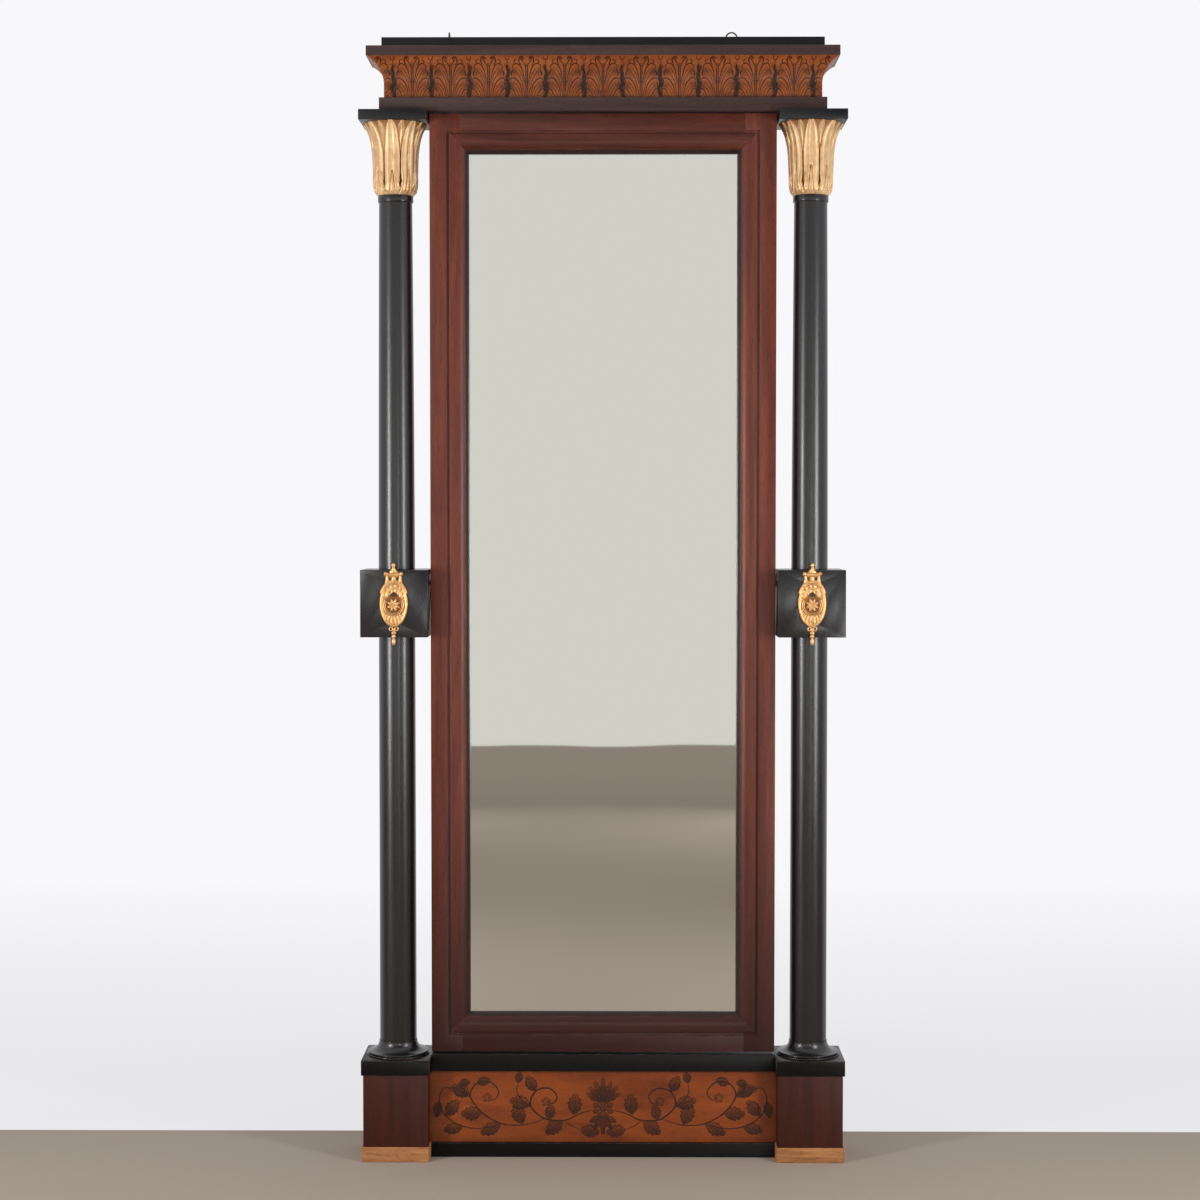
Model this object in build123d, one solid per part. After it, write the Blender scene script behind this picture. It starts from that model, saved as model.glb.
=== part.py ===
from build123d import *
import os
from math import cos, radians, sin

# A dressing mirror in a standing portal. Two turned columns on plinths carry a cornice, and a framed
# glass hangs between them on two pins, so that it tilts. Millimetres. X runs from column to column,
# Y from the front (minus) to the back (plus), Z up from the floor. The column axes lie at Y = 0 while
# the pieces are made, and the whole is moved at the end so that its box is centred on Y = 0.

# Plinths
column_spacing = 852.0      # from one column axis to the other
foot_height = 31.0
foot_width = 140.0
foot_chamfer = 2.5
die_height = 148.5
die_width = 134.0
cap_height = 31.5
cap_width = 142.0
edge_chamfer = 0.8          # broken arrises of the ebonised blocks

# Base between the plinths
base_depth = 62.0
lower_rail_lift = 1.0       # the rail clears the floor, so that the part stands on its feet
top_rail_rise = 5.0         # top of the rail above the plinth caps
panel_recess = 7.0
panel_thickness = 12.0
tenon_length = 26.0
tenon_thickness = 16.0
tenon_width = 32.0
glue_block_side = 18.0
glue_block_length = 90.0
glue_block_pitch = 215.0

# Columns
base_ring_inset = 6.0       # inside the plinth cap's edge
base_ring_height = 3.0
base_groove_depth = 4.5
base_groove_height = 1.5
base_rim_radius = 63.0
base_rim_height = 3.5
base_collar_step = 1.2      # the cove ends this far outside the shaft
base_cove_height = 22.0
shaft_foot_radius = 38.0
shaft_block_radius = 37.5
shaft_neck_radius = 34.0
shaft_swell = 0.4            # at half height, how much stouter the upper shaft is than a plain cone
lower_shaft_length = 840.0
upper_shaft_length = 751.5
block_height = 137.5
block_width = 138.0
spigot_radius = 15.0
spigot_length = 40.0
spigot_clearance = 0.2
necking_height = 14.0
necking_projection = 3.0
capital_height = 146.0
abacus_height = 21.0
abacus_margin = 0.35        # the abacus is this much wider than the column block on each side
abacus_socket_depth = 11.0

# Carved capital: height share and radius of the leaf crests
capital_leaves = 8
capital_turn = -3.8         # degrees that the front leaf stands round from the middle
capital_profile = [
    (0.0, 37.5), (0.045, 42.5), (0.12, 45.0), (0.24, 46.0), (0.42, 46.9),
    (0.60, 48.2), (0.77, 52.0), (0.88, 57.0), (0.955, 62.5), (1.0, 66.5),
]
leaf_gap_depth = 4.6        # between two leaves
leaf_rib_depth = 2.0        # on each side of a leaf's middle rib

# Pivots
pin_radius = 4.8
pin_clearance = 0.05        # running fit in the bush
bush_radius = 9.0
bush_length = 32.0
pin_end_gap = 2.0
pivot_drop = 28.5           # below the top of the column block
pivot_plate_height = 72.0
pivot_plate_width = 26.0
pivot_plate_thickness = 3.0
pivot_screw_offset = 24.0

# Mirror frame
swing_gap_side = 2.5
swing_gap_bottom = 4.0
swing_gap_top = 2.5
frame_thickness = 50.0
band_width = 34.0           # flat outer band
groove_width = 5.5
groove_depth = 4.5
moulding_width = 32.0
moulding_flat = 13.0
moulding_drop = 8.0         # how far its round falls towards the glass
moulding_depth = 13.0
moulding_nose = 1.5
moulding_belly = 1.75       # the round's drop at half its width
slip_width = 8.0            # dark inner slip that shows round the glass
slip_start = 9.0
slip_edge = 2.5
slip_lap = 7.5              # hidden under the moulding
glass_depth = 22.0          # from the frame's face to the glass
glass_thickness = 4.0
glass_lap = 10.0            # rebate behind the lip
glass_clearance = 1.0
board_depth = 38.0
board_thickness = 10.0
board_lap = 10.0
board_count = 3
board_gap = 1.0
glazing_block_length = 60.0
glazing_block_thickness = 10.0
glazing_block_pitch = 340.0
frame_tenon_length = 38.0
frame_tenon_thickness = 14.0
frame_tenon_width = 17.0
frame_tenon_inset = 8.5     # from the rail's outer edge
frame_tenon_cover = 1.0     # wood between the tenon and the moulding's seat

# Cornice
fillet_height = 27.0
fillet_overhang = 29.0      # past the column axis
fillet_front = 48.0
cornice_back = 60.0
frieze_inset = 9.5
frieze_wall = 20.0
cove_foot = 27.0            # upright part of the frieze below its cove
cove_height = 53.0
cove_projection = 31.0
corona_height = 20.0
corona_overhang = 2.5
plate_height = 22.0
plate_inset = 29.0
back_board_thickness = 18.0
dowel_radius = 5.0
dowel_depth = 12.0
dowel_offset = 36.0

# Screw eyes on the top plate, for a safety tie to the wall
eye_left_x = -318.0
eye_right_x = 265.0
eye_from_back = 14.0
eye_ring_radius = 11.5      # to the middle of the wire
eye_wire_radius = 1.6
eye_shank_length = 18.0
eye_neck = 3.0
eye_right_turn = 90.0       # degrees about its shank

# Pierced escutcheons on the column blocks
oval_width = 58.0
oval_height = 96.0
escutcheon_plate = 2.5
escutcheon_rim = 5.0
rim_width = 5.5
medallion_radius = 18.0
medallion_height = 9.0
crest_width = 37.0
crest_height = 7.0
crest_rise = 60.0           # from the oval's middle to the crest bar's middle
crest_neck_width = 23.0
finial_width = 9.0
escutcheon_top = 83.0       # from the oval's middle to the finial's point
pendant_width = 10.0
pendant_end_radius = 4.0
escutcheon_bottom = 84.5
keyhole_radius = 3.2
keyhole_width = 3.4
keyhole_length = 8.0
keyhole_rise = 5.0

# Fasteners
screw_radius = 2.0
screw_head_radius = 4.2
screw_length = 22.0
escutcheon_pin_radius = 0.8
escutcheon_pin_head = 1.8
escutcheon_pin_length = 12.0
escutcheon_pin_inset = 12.0  # from the oval's top and bottom edges

# Heights worked out from the floor up
die_top = foot_height + die_height
plinth_top = die_top + cap_height
column_base_top = plinth_top + base_ring_height + base_groove_height + base_rim_height + base_cove_height
block_bottom = column_base_top + lower_shaft_length
block_top = block_bottom + block_height
neck_bottom = block_top + upper_shaft_length
capital_bottom = neck_bottom + necking_height
abacus_bottom = capital_bottom + capital_height
cornice_bottom = abacus_bottom + abacus_height
frieze_bottom = cornice_bottom + fillet_height
frieze_height = cove_foot + cove_height
corona_bottom = frieze_bottom + frieze_height
plate_bottom = corona_bottom + corona_height
plate_top = plate_bottom + plate_height
pivot_z = block_top - pivot_drop
top_rail_top = plinth_top + top_rail_rise

# Places worked out from the column axes, and widths that follow a neighbour's
column_x = column_spacing / 2
base_ring_radius = cap_width / 2 - base_ring_inset
abacus_width = block_width + 2 * abacus_margin
block_inner = column_x - block_width / 2
frame_half = block_inner - swing_gap_side
frame_bottom = top_rail_top + swing_gap_bottom
frame_top = cornice_bottom - swing_gap_top
frame_face = -frame_thickness / 2
moulding_start = band_width + groove_width
moulding_end = moulding_start + moulding_width
sight_inset = moulding_end + slip_width
lip_inset = moulding_end - slip_lap
glass_inset = lip_inset - glass_lap
board_inset = glass_inset - board_lap
escutcheon_z = (block_bottom + block_top) / 2
front_reach = max(block_width / 2 + medallion_height, cap_width / 2)
back_reach = cap_width / 2
row_shift = (front_reach - back_reach) / 2

pieces = {}


def slab(x0, x1, y0, y1, z0, z1):
    return Pos((x0 + x1) / 2, (y0 + y1) / 2, (z0 + z1) / 2) * Box(x1 - x0, y1 - y0, z1 - z0)


def rod(x, y, z0, z1, radius):
    return Pos(x, y, (z0 + z1) / 2) * Cylinder(radius, z1 - z0)


def face_of(*curves):
    return make_face([edge for curve in curves for edge in curve.edges()])


def turned(*curves):
    return revolve(face_of(*curves), Axis.Z)


def prism(points, plane, length):
    # A closed outline drawn on a plane and pushed along its normal
    return extrude(plane * make_face(Polyline(*points, close=True)), amount=length)


def screw(head_point, direction):
    # Countersunk wood screw: its head's face at head_point, its shank along direction
    head_depth = screw_head_radius - screw_radius
    head = Pos(0, 0, head_depth / 2) * Cone(screw_head_radius, screw_radius, head_depth)
    shank = Pos(0, 0, (screw_length + head_depth) / 2) * Cylinder(screw_radius, screw_length - head_depth)
    return Plane(origin=head_point, z_dir=direction).location * (head + shank)


def plinth(side, name):
    x = side * column_x
    foot = Pos(x, 0, foot_height / 2) * Box(foot_width, foot_width, foot_height)
    foot = chamfer(foot.edges().filter_by(Axis.Z), foot_chamfer)
    die = slab(x - die_width / 2, x + die_width / 2, -die_width / 2, die_width / 2, foot_height, die_top)
    die = chamfer(die.edges().filter_by(Axis.Z), edge_chamfer)
    cap = slab(x - cap_width / 2, x + cap_width / 2, -cap_width / 2, cap_width / 2, die_top, plinth_top)
    cap = chamfer(cap.edges(), edge_chamfer)
    socket = rod(x, 0, plinth_top - spigot_length, plinth_top, spigot_radius + spigot_clearance)
    pieces[f"foot_{name}"] = foot
    pieces[f"plinth_{name}"] = die - socket
    pieces[f"plinth_cap_{name}"] = cap - socket


def column_base(side, name):
    ring_top = plinth_top + base_ring_height
    rim_bottom = ring_top + base_groove_height
    rim_top = rim_bottom + base_rim_height
    cove_top_radius = shaft_foot_radius + base_collar_step
    rim_round = base_rim_height / 2
    groove_radius = base_rim_radius - base_groove_depth
    bore = spigot_radius + spigot_clearance
    cove_foot_radius = base_rim_radius - rim_round
    cove_mid = sin(radians(45))
    profile = turned(
        Polyline((bore, 0, plinth_top), (base_ring_radius, 0, plinth_top), (base_ring_radius, 0, ring_top),
                 (groove_radius, 0, ring_top), (groove_radius, 0, rim_bottom),
                 (base_rim_radius - rim_round, 0, rim_bottom)),
        ThreePointArc((base_rim_radius - rim_round, 0, rim_bottom),
                      (base_rim_radius, 0, rim_bottom + rim_round),
                      (base_rim_radius - rim_round, 0, rim_top)),
        ThreePointArc((cove_foot_radius, 0, rim_top),
                      (cove_foot_radius - (cove_foot_radius - cove_top_radius) * cove_mid, 0,
                       rim_top + base_cove_height * (1 - cove_mid)),
                      (cove_top_radius, 0, column_base_top)),
        Polyline((cove_top_radius, 0, column_base_top), (bore, 0, column_base_top), (bore, 0, plinth_top)),
    )
    pieces[f"column_base_{name}"] = Pos(side * column_x, 0, 0) * profile


def shafts(side, name):
    x = side * column_x
    lower = Pos(0, 0, (column_base_top + block_bottom) / 2) * Cone(
        shaft_foot_radius, shaft_block_radius, lower_shaft_length)
    lower += rod(0, 0, plinth_top - spigot_length + spigot_clearance, column_base_top, spigot_radius)
    lower += rod(0, 0, block_bottom, block_bottom + spigot_length - spigot_clearance, spigot_radius)
    # The upper shaft draws in with a slight swelling
    swell_radius = (shaft_neck_radius + shaft_block_radius) / 2 + shaft_swell
    upper = turned(
        Polyline((shaft_block_radius, 0, block_top), (0, 0, block_top), (0, 0, neck_bottom),
                 (shaft_neck_radius, 0, neck_bottom)),
        ThreePointArc((shaft_neck_radius, 0, neck_bottom),
                      (swell_radius, 0, (block_top + neck_bottom) / 2),
                      (shaft_block_radius, 0, block_top)),
    )
    upper += rod(0, 0, block_top - spigot_length + spigot_clearance, block_top, spigot_radius)
    upper += rod(0, 0, neck_bottom, abacus_bottom + abacus_socket_depth - spigot_clearance, spigot_radius)
    pieces[f"lower_shaft_{name}"] = Pos(x, 0, 0) * lower
    pieces[f"upper_shaft_{name}"] = Pos(x, 0, 0) * upper


def column_block(side, name):
    x = side * column_x
    block = slab(x - block_width / 2, x + block_width / 2, -block_width / 2, block_width / 2,
                 block_bottom, block_top)
    block = chamfer(block.edges(), edge_chamfer)
    block -= rod(x, 0, block_bottom, block_bottom + spigot_length, spigot_radius + spigot_clearance)
    block -= rod(x, 0, block_top - spigot_length, block_top, spigot_radius + spigot_clearance)
    bush_middle = side * (block_inner + bush_length / 2)
    bore = Pos(bush_middle, 0, pivot_z) * Rot(0, 90, 0) * Cylinder(bush_radius, bush_length)
    hole = Pos(bush_middle, 0, pivot_z) * Rot(0, 90, 0) * Cylinder(pin_radius + pin_clearance, bush_length)
    block -= bore
    for point in escutcheon_pin_points(side):
        block -= escutcheon_pin(point)
    pieces[f"column_block_{name}"] = block
    pieces[f"pivot_bush_{name}"] = bore - hole


def capital(side, name):
    x = side * column_x
    bore = spigot_radius + spigot_clearance
    necking = turned(
        Polyline((shaft_neck_radius, 0, neck_bottom), (bore, 0, neck_bottom),
                 (bore, 0, capital_bottom), (shaft_neck_radius, 0, capital_bottom)),
        ThreePointArc((shaft_neck_radius, 0, capital_bottom),
                      (shaft_neck_radius + necking_projection, 0, neck_bottom + necking_height / 2),
                      (shaft_neck_radius, 0, neck_bottom)),
    )
    # Each leaf has two rounded lobes with a rib between them, and a deeper cut parts it from the next
    lobes = 2 * capital_leaves
    step = 360 / lobes
    sections = []
    for share, crest in capital_profile:
        z = capital_bottom + share * capital_height
        edges = []
        for lobe in range(lobes):
            ends = []
            for corner in (lobe, lobe + 1):
                depth = leaf_gap_depth if corner % 2 else leaf_rib_depth
                angle = radians(corner * step + capital_turn - 90)
                ends.append(((crest - depth) * cos(angle), (crest - depth) * sin(angle), z))
            middle = radians((lobe + 0.5) * step + capital_turn - 90)
            edges += ThreePointArc(ends[0], (crest * cos(middle), crest * sin(middle), z), ends[1]).edges()
        sections.append(make_face(edges))
    bell = loft(sections, ruled=True)
    bell -= rod(0, 0, capital_bottom, abacus_bottom, bore)
    abacus = slab(-abacus_width / 2, abacus_width / 2, -abacus_width / 2, abacus_width / 2,
                  abacus_bottom, cornice_bottom)
    abacus = chamfer(abacus.edges(), edge_chamfer)
    abacus -= rod(0, 0, abacus_bottom, abacus_bottom + abacus_socket_depth, bore)
    for y in (-dowel_offset, dowel_offset):
        abacus -= rod(0, y, cornice_bottom - dowel_depth, cornice_bottom, dowel_radius)
    pieces[f"necking_ring_{name}"] = Pos(x, 0, 0) * necking
    pieces[f"capital_{name}"] = Pos(x, 0, 0) * bell
    pieces[f"abacus_{name}"] = Pos(x, 0, 0) * abacus


def escutcheon_pin_points(side):
    # Inside the rim at top and bottom, on the block's front face
    points = []
    rise = oval_height / 2 - escutcheon_pin_inset
    for dz in (-rise, rise):
        points.append((side * column_x, -block_width / 2 - escutcheon_plate, escutcheon_z + dz))
    return points


def escutcheon_pin(point):
    head = Sphere(escutcheon_pin_head) & Pos(0, 0, escutcheon_pin_head / 2) * Box(
        4 * escutcheon_pin_head, 4 * escutcheon_pin_head, escutcheon_pin_head)
    shank = Pos(0, 0, -escutcheon_pin_length / 2) * Cylinder(escutcheon_pin_radius, escutcheon_pin_length)
    return Plane(origin=point, z_dir=(0, -1, 0)).location * (head + shank)


def escutcheon(side, name):
    oval = Ellipse(oval_width / 2, oval_height / 2)
    inner_oval = Ellipse(oval_width / 2 - rim_width, oval_height / 2 - rim_width)
    crest_bar = Pos(0, crest_rise) * Rectangle(crest_width, crest_height)
    neck_low = oval_height / 2 - rim_width
    neck = Pos(0, (neck_low + crest_rise) / 2) * Rectangle(crest_neck_width, crest_rise - neck_low)
    finial_low = crest_rise + crest_height / 2
    finial = make_face(Polyline((-finial_width / 2, finial_low), (finial_width / 2, finial_low),
                                (0, escutcheon_top), close=True))
    pendant_top = oval_height / 2 - rim_width
    pendant_low = escutcheon_bottom - pendant_end_radius
    pendant = make_face(Polyline((-pendant_width / 2, -pendant_top), (pendant_width / 2, -pendant_top),
                                 (pendant_end_radius, -pendant_low), (-pendant_end_radius, -pendant_low),
                                 close=True))
    drop = Pos(0, -pendant_low) * Circle(pendant_end_radius)
    keyhole = Pos(0, keyhole_rise) * Circle(keyhole_radius)
    keyhole += Pos(0, keyhole_rise - keyhole_length / 2) * Rectangle(keyhole_width, keyhole_length)
    plate = extrude(oval + crest_bar + neck + finial + pendant + drop, amount=escutcheon_plate)
    rim = extrude(oval - inner_oval, amount=escutcheon_rim)
    # A domed boss: the cap of a ball that meets the plate in the medallion's circle
    ball_radius = (medallion_radius ** 2 + medallion_height ** 2) / (2 * medallion_height)
    dome = Pos(0, 0, medallion_height - ball_radius) * Sphere(ball_radius)
    dome_side = 3 * medallion_radius
    dome &= Pos(0, 0, medallion_height / 2) * Box(dome_side, dome_side, medallion_height)
    casting = plate + rim + dome - extrude(keyhole, amount=medallion_height)
    place = Plane(origin=(side * column_x, -block_width / 2, escutcheon_z), x_dir=(1, 0, 0), z_dir=(0, -1, 0))
    casting = place.location * casting
    for point in escutcheon_pin_points(side):
        casting -= escutcheon_pin(point)
    pieces[f"escutcheon_{name}"] = casting


def base():
    front = -base_depth / 2
    back = base_depth / 2
    rail_end = column_x - cap_width / 2
    panel_end = column_x - die_width / 2
    foot_inner = column_x - foot_width / 2
    lower_rail = slab(-foot_inner, foot_inner, front, back, lower_rail_lift, foot_height)
    lower_rail = chamfer(lower_rail.edges().filter_by(Axis.X), edge_chamfer)
    top_rail = slab(-rail_end, rail_end, front, back, die_top, top_rail_top)
    tenon_low = die_top + (cap_height - tenon_thickness) / 2
    for side, name in ((-1, "left"), (1, "right")):
        inner, outer = sorted((side * rail_end, side * (rail_end + tenon_length)))
        tenon = slab(inner, outer, -tenon_width / 2, tenon_width / 2, tenon_low, tenon_low + tenon_thickness)
        top_rail += tenon
        pieces[f"plinth_cap_{name}"] -= tenon
    panel = slab(-panel_end, panel_end, front + panel_recess, front + panel_recess + panel_thickness,
                 foot_height, die_top)
    back_panel = slab(-panel_end, panel_end, back - panel_recess - panel_thickness, back - panel_recess,
                      foot_height, die_top)
    # Glue blocks in the corners between the panels and the top rail
    hollow_half = base_depth / 2 - panel_recess - panel_thickness
    blocks = []
    for middle in (-glue_block_pitch, 0.0, glue_block_pitch):
        blocks.append(slab(middle - glue_block_length / 2, middle + glue_block_length / 2,
                           -hollow_half, hollow_half, die_top - glue_block_side, die_top))
    pieces["base_lower_rail"] = lower_rail
    pieces["base_top_rail"] = top_rail
    pieces["base_panel"] = panel
    pieces["base_back_panel"] = back_panel
    pieces["base_glue_blocks"] = Compound(blocks)


def cornice():
    half = column_x + fillet_overhang
    fillet = slab(-half, half, -fillet_front, cornice_back, cornice_bottom, frieze_bottom)
    fillet = chamfer(fillet.edges().filter_by(Axis.X).group_by(Axis.Y)[0], edge_chamfer)
    base_half = half - frieze_inset
    base_front = fillet_front - frieze_inset
    # Cavetto section: u runs outwards from the base line of the frieze, v upwards
    cove_radius = (cove_height ** 2 + cove_projection ** 2) / (2 * cove_projection)
    mid_height = cove_height / 2
    mid_out = cove_radius - (cove_radius ** 2 - mid_height ** 2) ** 0.5
    section = face_of(
        Polyline((0, cove_foot), (0, 0), (-frieze_wall, 0), (-frieze_wall, frieze_height),
                 (cove_projection, frieze_height)),
        ThreePointArc((cove_projection, frieze_height), (mid_out, cove_foot + mid_height), (0, cove_foot)),
    )
    reach = cove_projection + frieze_wall
    front_plane = Plane(origin=(base_half + reach, -base_front, frieze_bottom),
                        x_dir=(0, -1, 0), z_dir=(-1, 0, 0))
    front = extrude(front_plane * section, amount=2 * (base_half + reach))
    mask_out = 2 * reach
    inner_half = base_half - frieze_wall
    inner_front = base_front - frieze_wall
    mask = prism([(-base_half - mask_out, -base_front - mask_out),
                  (base_half + mask_out, -base_front - mask_out),
                  (inner_half, -inner_front), (-inner_half, -inner_front)],
                 Plane.XY.offset(frieze_bottom), frieze_height)
    pieces["cornice_frieze_front"] = front & mask
    for side, name in ((-1, "left"), (1, "right")):
        start_y = cornice_back if side > 0 else -base_front - mask_out
        plane = Plane(origin=(side * base_half, start_y, frieze_bottom),
                      x_dir=(side, 0, 0), z_dir=(0, -side, 0))
        bar = extrude(plane * section, amount=cornice_back + base_front + mask_out)
        corner = prism([(side * (base_half + mask_out), -base_front - mask_out),
                        (side * inner_half, -inner_front), (side * inner_half, cornice_back),
                        (side * (base_half + mask_out), cornice_back)],
                       Plane.XY.offset(frieze_bottom), frieze_height)
        pieces[f"cornice_return_{name}"] = bar & corner
    pieces["cornice_back_board"] = slab(-inner_half, inner_half, cornice_back - back_board_thickness,
                                        cornice_back, frieze_bottom, corona_bottom)
    blocks = []
    for side in (-1, 1):
        for step in (0.5, 1.5):
            middle = side * step * glue_block_pitch
            block = prism([(-inner_front, corona_bottom), (-inner_front + glue_block_side, corona_bottom),
                           (-inner_front, corona_bottom - glue_block_side)],
                          Plane(origin=(middle - glue_block_length / 2, 0, 0), x_dir=(0, 1, 0),
                                z_dir=(1, 0, 0)), glue_block_length)
            blocks.append(block)
    pieces["cornice_glue_blocks"] = Compound(blocks)
    corona_half = base_half + cove_projection + corona_overhang
    corona_front = base_front + cove_projection + corona_overhang
    corona = slab(-corona_half, corona_half, -corona_front, cornice_back, corona_bottom, plate_bottom)
    corona = chamfer(corona.edges().group_by(Axis.Y)[0], edge_chamfer)
    plate_half = corona_half - plate_inset
    plate = slab(-plate_half, plate_half, -corona_front + plate_inset, cornice_back, plate_bottom, plate_top)
    plate = chamfer(plate.edges().group_by(Axis.Y)[0], edge_chamfer)
    dowels = []
    for x in (-column_x, column_x):
        for y in (-dowel_offset, dowel_offset):
            dowel = rod(x, y, cornice_bottom - dowel_depth, cornice_bottom + dowel_depth, dowel_radius)
            fillet -= dowel
            dowels.append(dowel)
    eye_y = cornice_back - eye_from_back
    for name, x, turn in (("left", eye_left_x, 0.0), ("right", eye_right_x, eye_right_turn)):
        ring_z = plate_top + eye_neck + eye_ring_radius
        ring = Pos(0, 0, ring_z) * Rot(0, 90, 0) * Torus(eye_ring_radius, eye_wire_radius)
        stem = rod(0, 0, plate_top - eye_shank_length, ring_z - eye_ring_radius, eye_wire_radius)
        pieces[f"wall_eye_{name}"] = Pos(x, eye_y, 0) * Rot(0, 0, turn) * (ring + stem)
        plate -= rod(x, eye_y, plate_top - eye_shank_length, plate_top, eye_wire_radius)
    pieces["cornice_lower_fillet"] = fillet
    pieces["cornice_corona"] = corona
    pieces["cornice_top_plate"] = plate
    pieces["cornice_dowels"] = Compound(dowels)


def window(inset, depth0, depth1):
    # What is cut out of the frame inside a given inset, between two depths behind its face
    return slab(-frame_half + inset, frame_half - inset, frame_face + depth0, frame_face + depth1,
                frame_bottom + inset, frame_top - inset)


def frame_members():
    face = frame_face
    back = frame_face + frame_thickness
    cuts = window(band_width, 0, groove_depth)
    cuts += window(moulding_start, 0, moulding_depth)
    cuts += window(glass_inset, glass_depth, frame_thickness)
    cuts += window(board_inset, board_depth, frame_thickness)
    tenon_front = face + moulding_depth + frame_tenon_cover
    for side, name in ((-1, "left"), (1, "right")):
        low, high = sorted((side * frame_half, side * (frame_half - lip_inset)))
        pieces[f"frame_stile_{name}"] = slab(low, high, face, back, frame_bottom, frame_top) - cuts
    rail_half = frame_half - lip_inset
    for name, z0, z1 in (("bottom", frame_bottom, frame_bottom + lip_inset),
                         ("top", frame_top - lip_inset, frame_top)):
        rail = slab(-rail_half, rail_half, face, back, z0, z1) - cuts
        tenon_low = z0 + frame_tenon_inset
        if name == "top":
            tenon_low = z1 - frame_tenon_inset - frame_tenon_width
        for side, stile in ((-1, "left"), (1, "right")):
            low, high = sorted((side * rail_half, side * (rail_half + frame_tenon_length)))
            tenon = slab(low, high, tenon_front, tenon_front + frame_tenon_thickness,
                         tenon_low, tenon_low + frame_tenon_width)
            rail += tenon
            pieces[f"frame_stile_{stile}"] -= tenon
        pieces[f"frame_rail_{name}"] = rail


def mitred_ring(section_face):
    # One moulding mitred round the four sides. The section is drawn with u as the inset from the
    # frame's edge and v as the depth behind its face.
    width = 2 * frame_half
    height = frame_top - frame_bottom
    middle_z = (frame_bottom + frame_top) / 2
    spans = {"left": (-1, 0, width, height), "right": (1, 0, width, height),
             "bottom": (0, -1, height, width), "top": (0, 1, height, width)}
    members = {}
    for name, (sx, sz, across, along) in spans.items():
        outward = Vector(sx, 0, sz)
        run = Vector(0, 1, 0).cross(outward)
        origin = Vector(0, frame_face, middle_z) + outward * (across / 2) - run * (along / 2)
        plane = Plane(origin=origin, x_dir=-outward, z_dir=run)
        turned_section = section_face if plane.y_dir.Y > 0 else mirror(section_face, Plane.XZ)
        bar = extrude(plane * turned_section, amount=along)
        reach = sight_inset + slip_width
        corners = [(-along / 2, 0), (along / 2, 0), (along / 2 - reach, reach), (-along / 2 + reach, reach)]
        mask_plane = Plane(origin=Vector(0, frame_face, middle_z) + outward * (across / 2),
                           x_dir=run, z_dir=run.cross(-outward))
        corners_3d = [mask_plane.from_local_coords(Vector(u, v, 0)) for u, v in corners]
        mask = extrude(make_face(Polyline(*corners_3d, close=True)), amount=frame_thickness, both=True)
        members[name] = bar & mask
    return members


def sight_mouldings():
    flat_end = moulding_start + moulding_flat
    round_width = moulding_end - flat_end
    section = face_of(
        Polyline((moulding_start + moulding_nose, 0), (moulding_start, moulding_nose),
                 (moulding_start, moulding_depth), (moulding_end, moulding_depth),
                 (moulding_end, moulding_drop)),
        ThreePointArc((moulding_end, moulding_drop),
                      (flat_end + round_width / 2, moulding_belly), (flat_end, 0)),
        Line((flat_end, 0), (moulding_start + moulding_nose, 0)),
    )
    for name, member in mitred_ring(section).items():
        pieces[f"sight_moulding_{name}"] = member
    slip_section = face_of(Polyline(
        (lip_inset, moulding_depth), (moulding_end, moulding_depth), (moulding_end, slip_start),
        (sight_inset, glass_depth - slip_edge), (sight_inset, glass_depth), (lip_inset, glass_depth),
        close=True))
    pieces["glass_slip"] = Compound(list(mitred_ring(slip_section).values()))


def glass_and_back():
    edge = glass_inset + glass_clearance
    pieces["mirror_glass"] = window(edge, glass_depth, glass_depth + glass_thickness)
    # Softwood blocks that wedge the glass in its rebate, beside the boards' ledge
    block_front = frame_face + glass_depth + glass_thickness
    block_back = block_front + glazing_block_thickness
    side_x = frame_half - glass_inset
    middle_z = (frame_bottom + frame_top) / 2
    glass_low = frame_bottom + glass_inset
    glass_high = frame_top - glass_inset
    blocks = []
    for step in (-2, -1, 0, 1, 2):
        z = middle_z + step * glazing_block_pitch
        for side in (-1, 1):
            low, high = sorted((side * side_x, side * (side_x - glass_lap)))
            blocks.append(slab(low, high, block_front, block_back,
                               z - glazing_block_length / 2, z + glazing_block_length / 2))
    for x in (-side_x / 2, side_x / 2):
        for low, high in ((glass_low, glass_low + glass_lap), (glass_high - glass_lap, glass_high)):
            blocks.append(slab(x - glazing_block_length / 2, x + glazing_block_length / 2,
                               block_front, block_back, low, high))
    pieces["glazing_blocks"] = Compound(blocks)
    board_half = frame_half - board_inset - glass_clearance
    pitch = (2 * board_half + board_gap) / board_count
    board_low = frame_bottom + board_inset + glass_clearance
    board_high = frame_top - board_inset - glass_clearance
    board_front = frame_face + board_depth
    board_back = board_front + board_thickness
    boards = []
    screws = []
    ledge_middle = board_inset + board_lap / 2
    for index in range(board_count):
        x0 = -board_half + index * pitch
        board = slab(x0, x0 + pitch - board_gap, board_front, board_back, board_low, board_high)
        for share in (0.25, 0.75):
            x = x0 + share * (pitch - board_gap)
            for z in (frame_bottom + ledge_middle, frame_top - ledge_middle):
                screws.append(screw((x, board_back, z), (0, -1, 0)))
        boards.append(board)
    for side in (-1, 1):
        for step in (-1.5, -0.5, 0.5, 1.5):
            z = middle_z + step * glazing_block_pitch
            screws.append(screw((side * (frame_half - ledge_middle), board_back, z), (0, -1, 0)))
    for fastener in screws:
        boards = [board - fastener for board in boards]
        for member in ("frame_stile_left", "frame_stile_right", "frame_rail_bottom", "frame_rail_top"):
            pieces[member] -= fastener
    pieces["backboards"] = Compound(boards)
    pieces["backboard_screws"] = Compound(screws)


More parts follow.
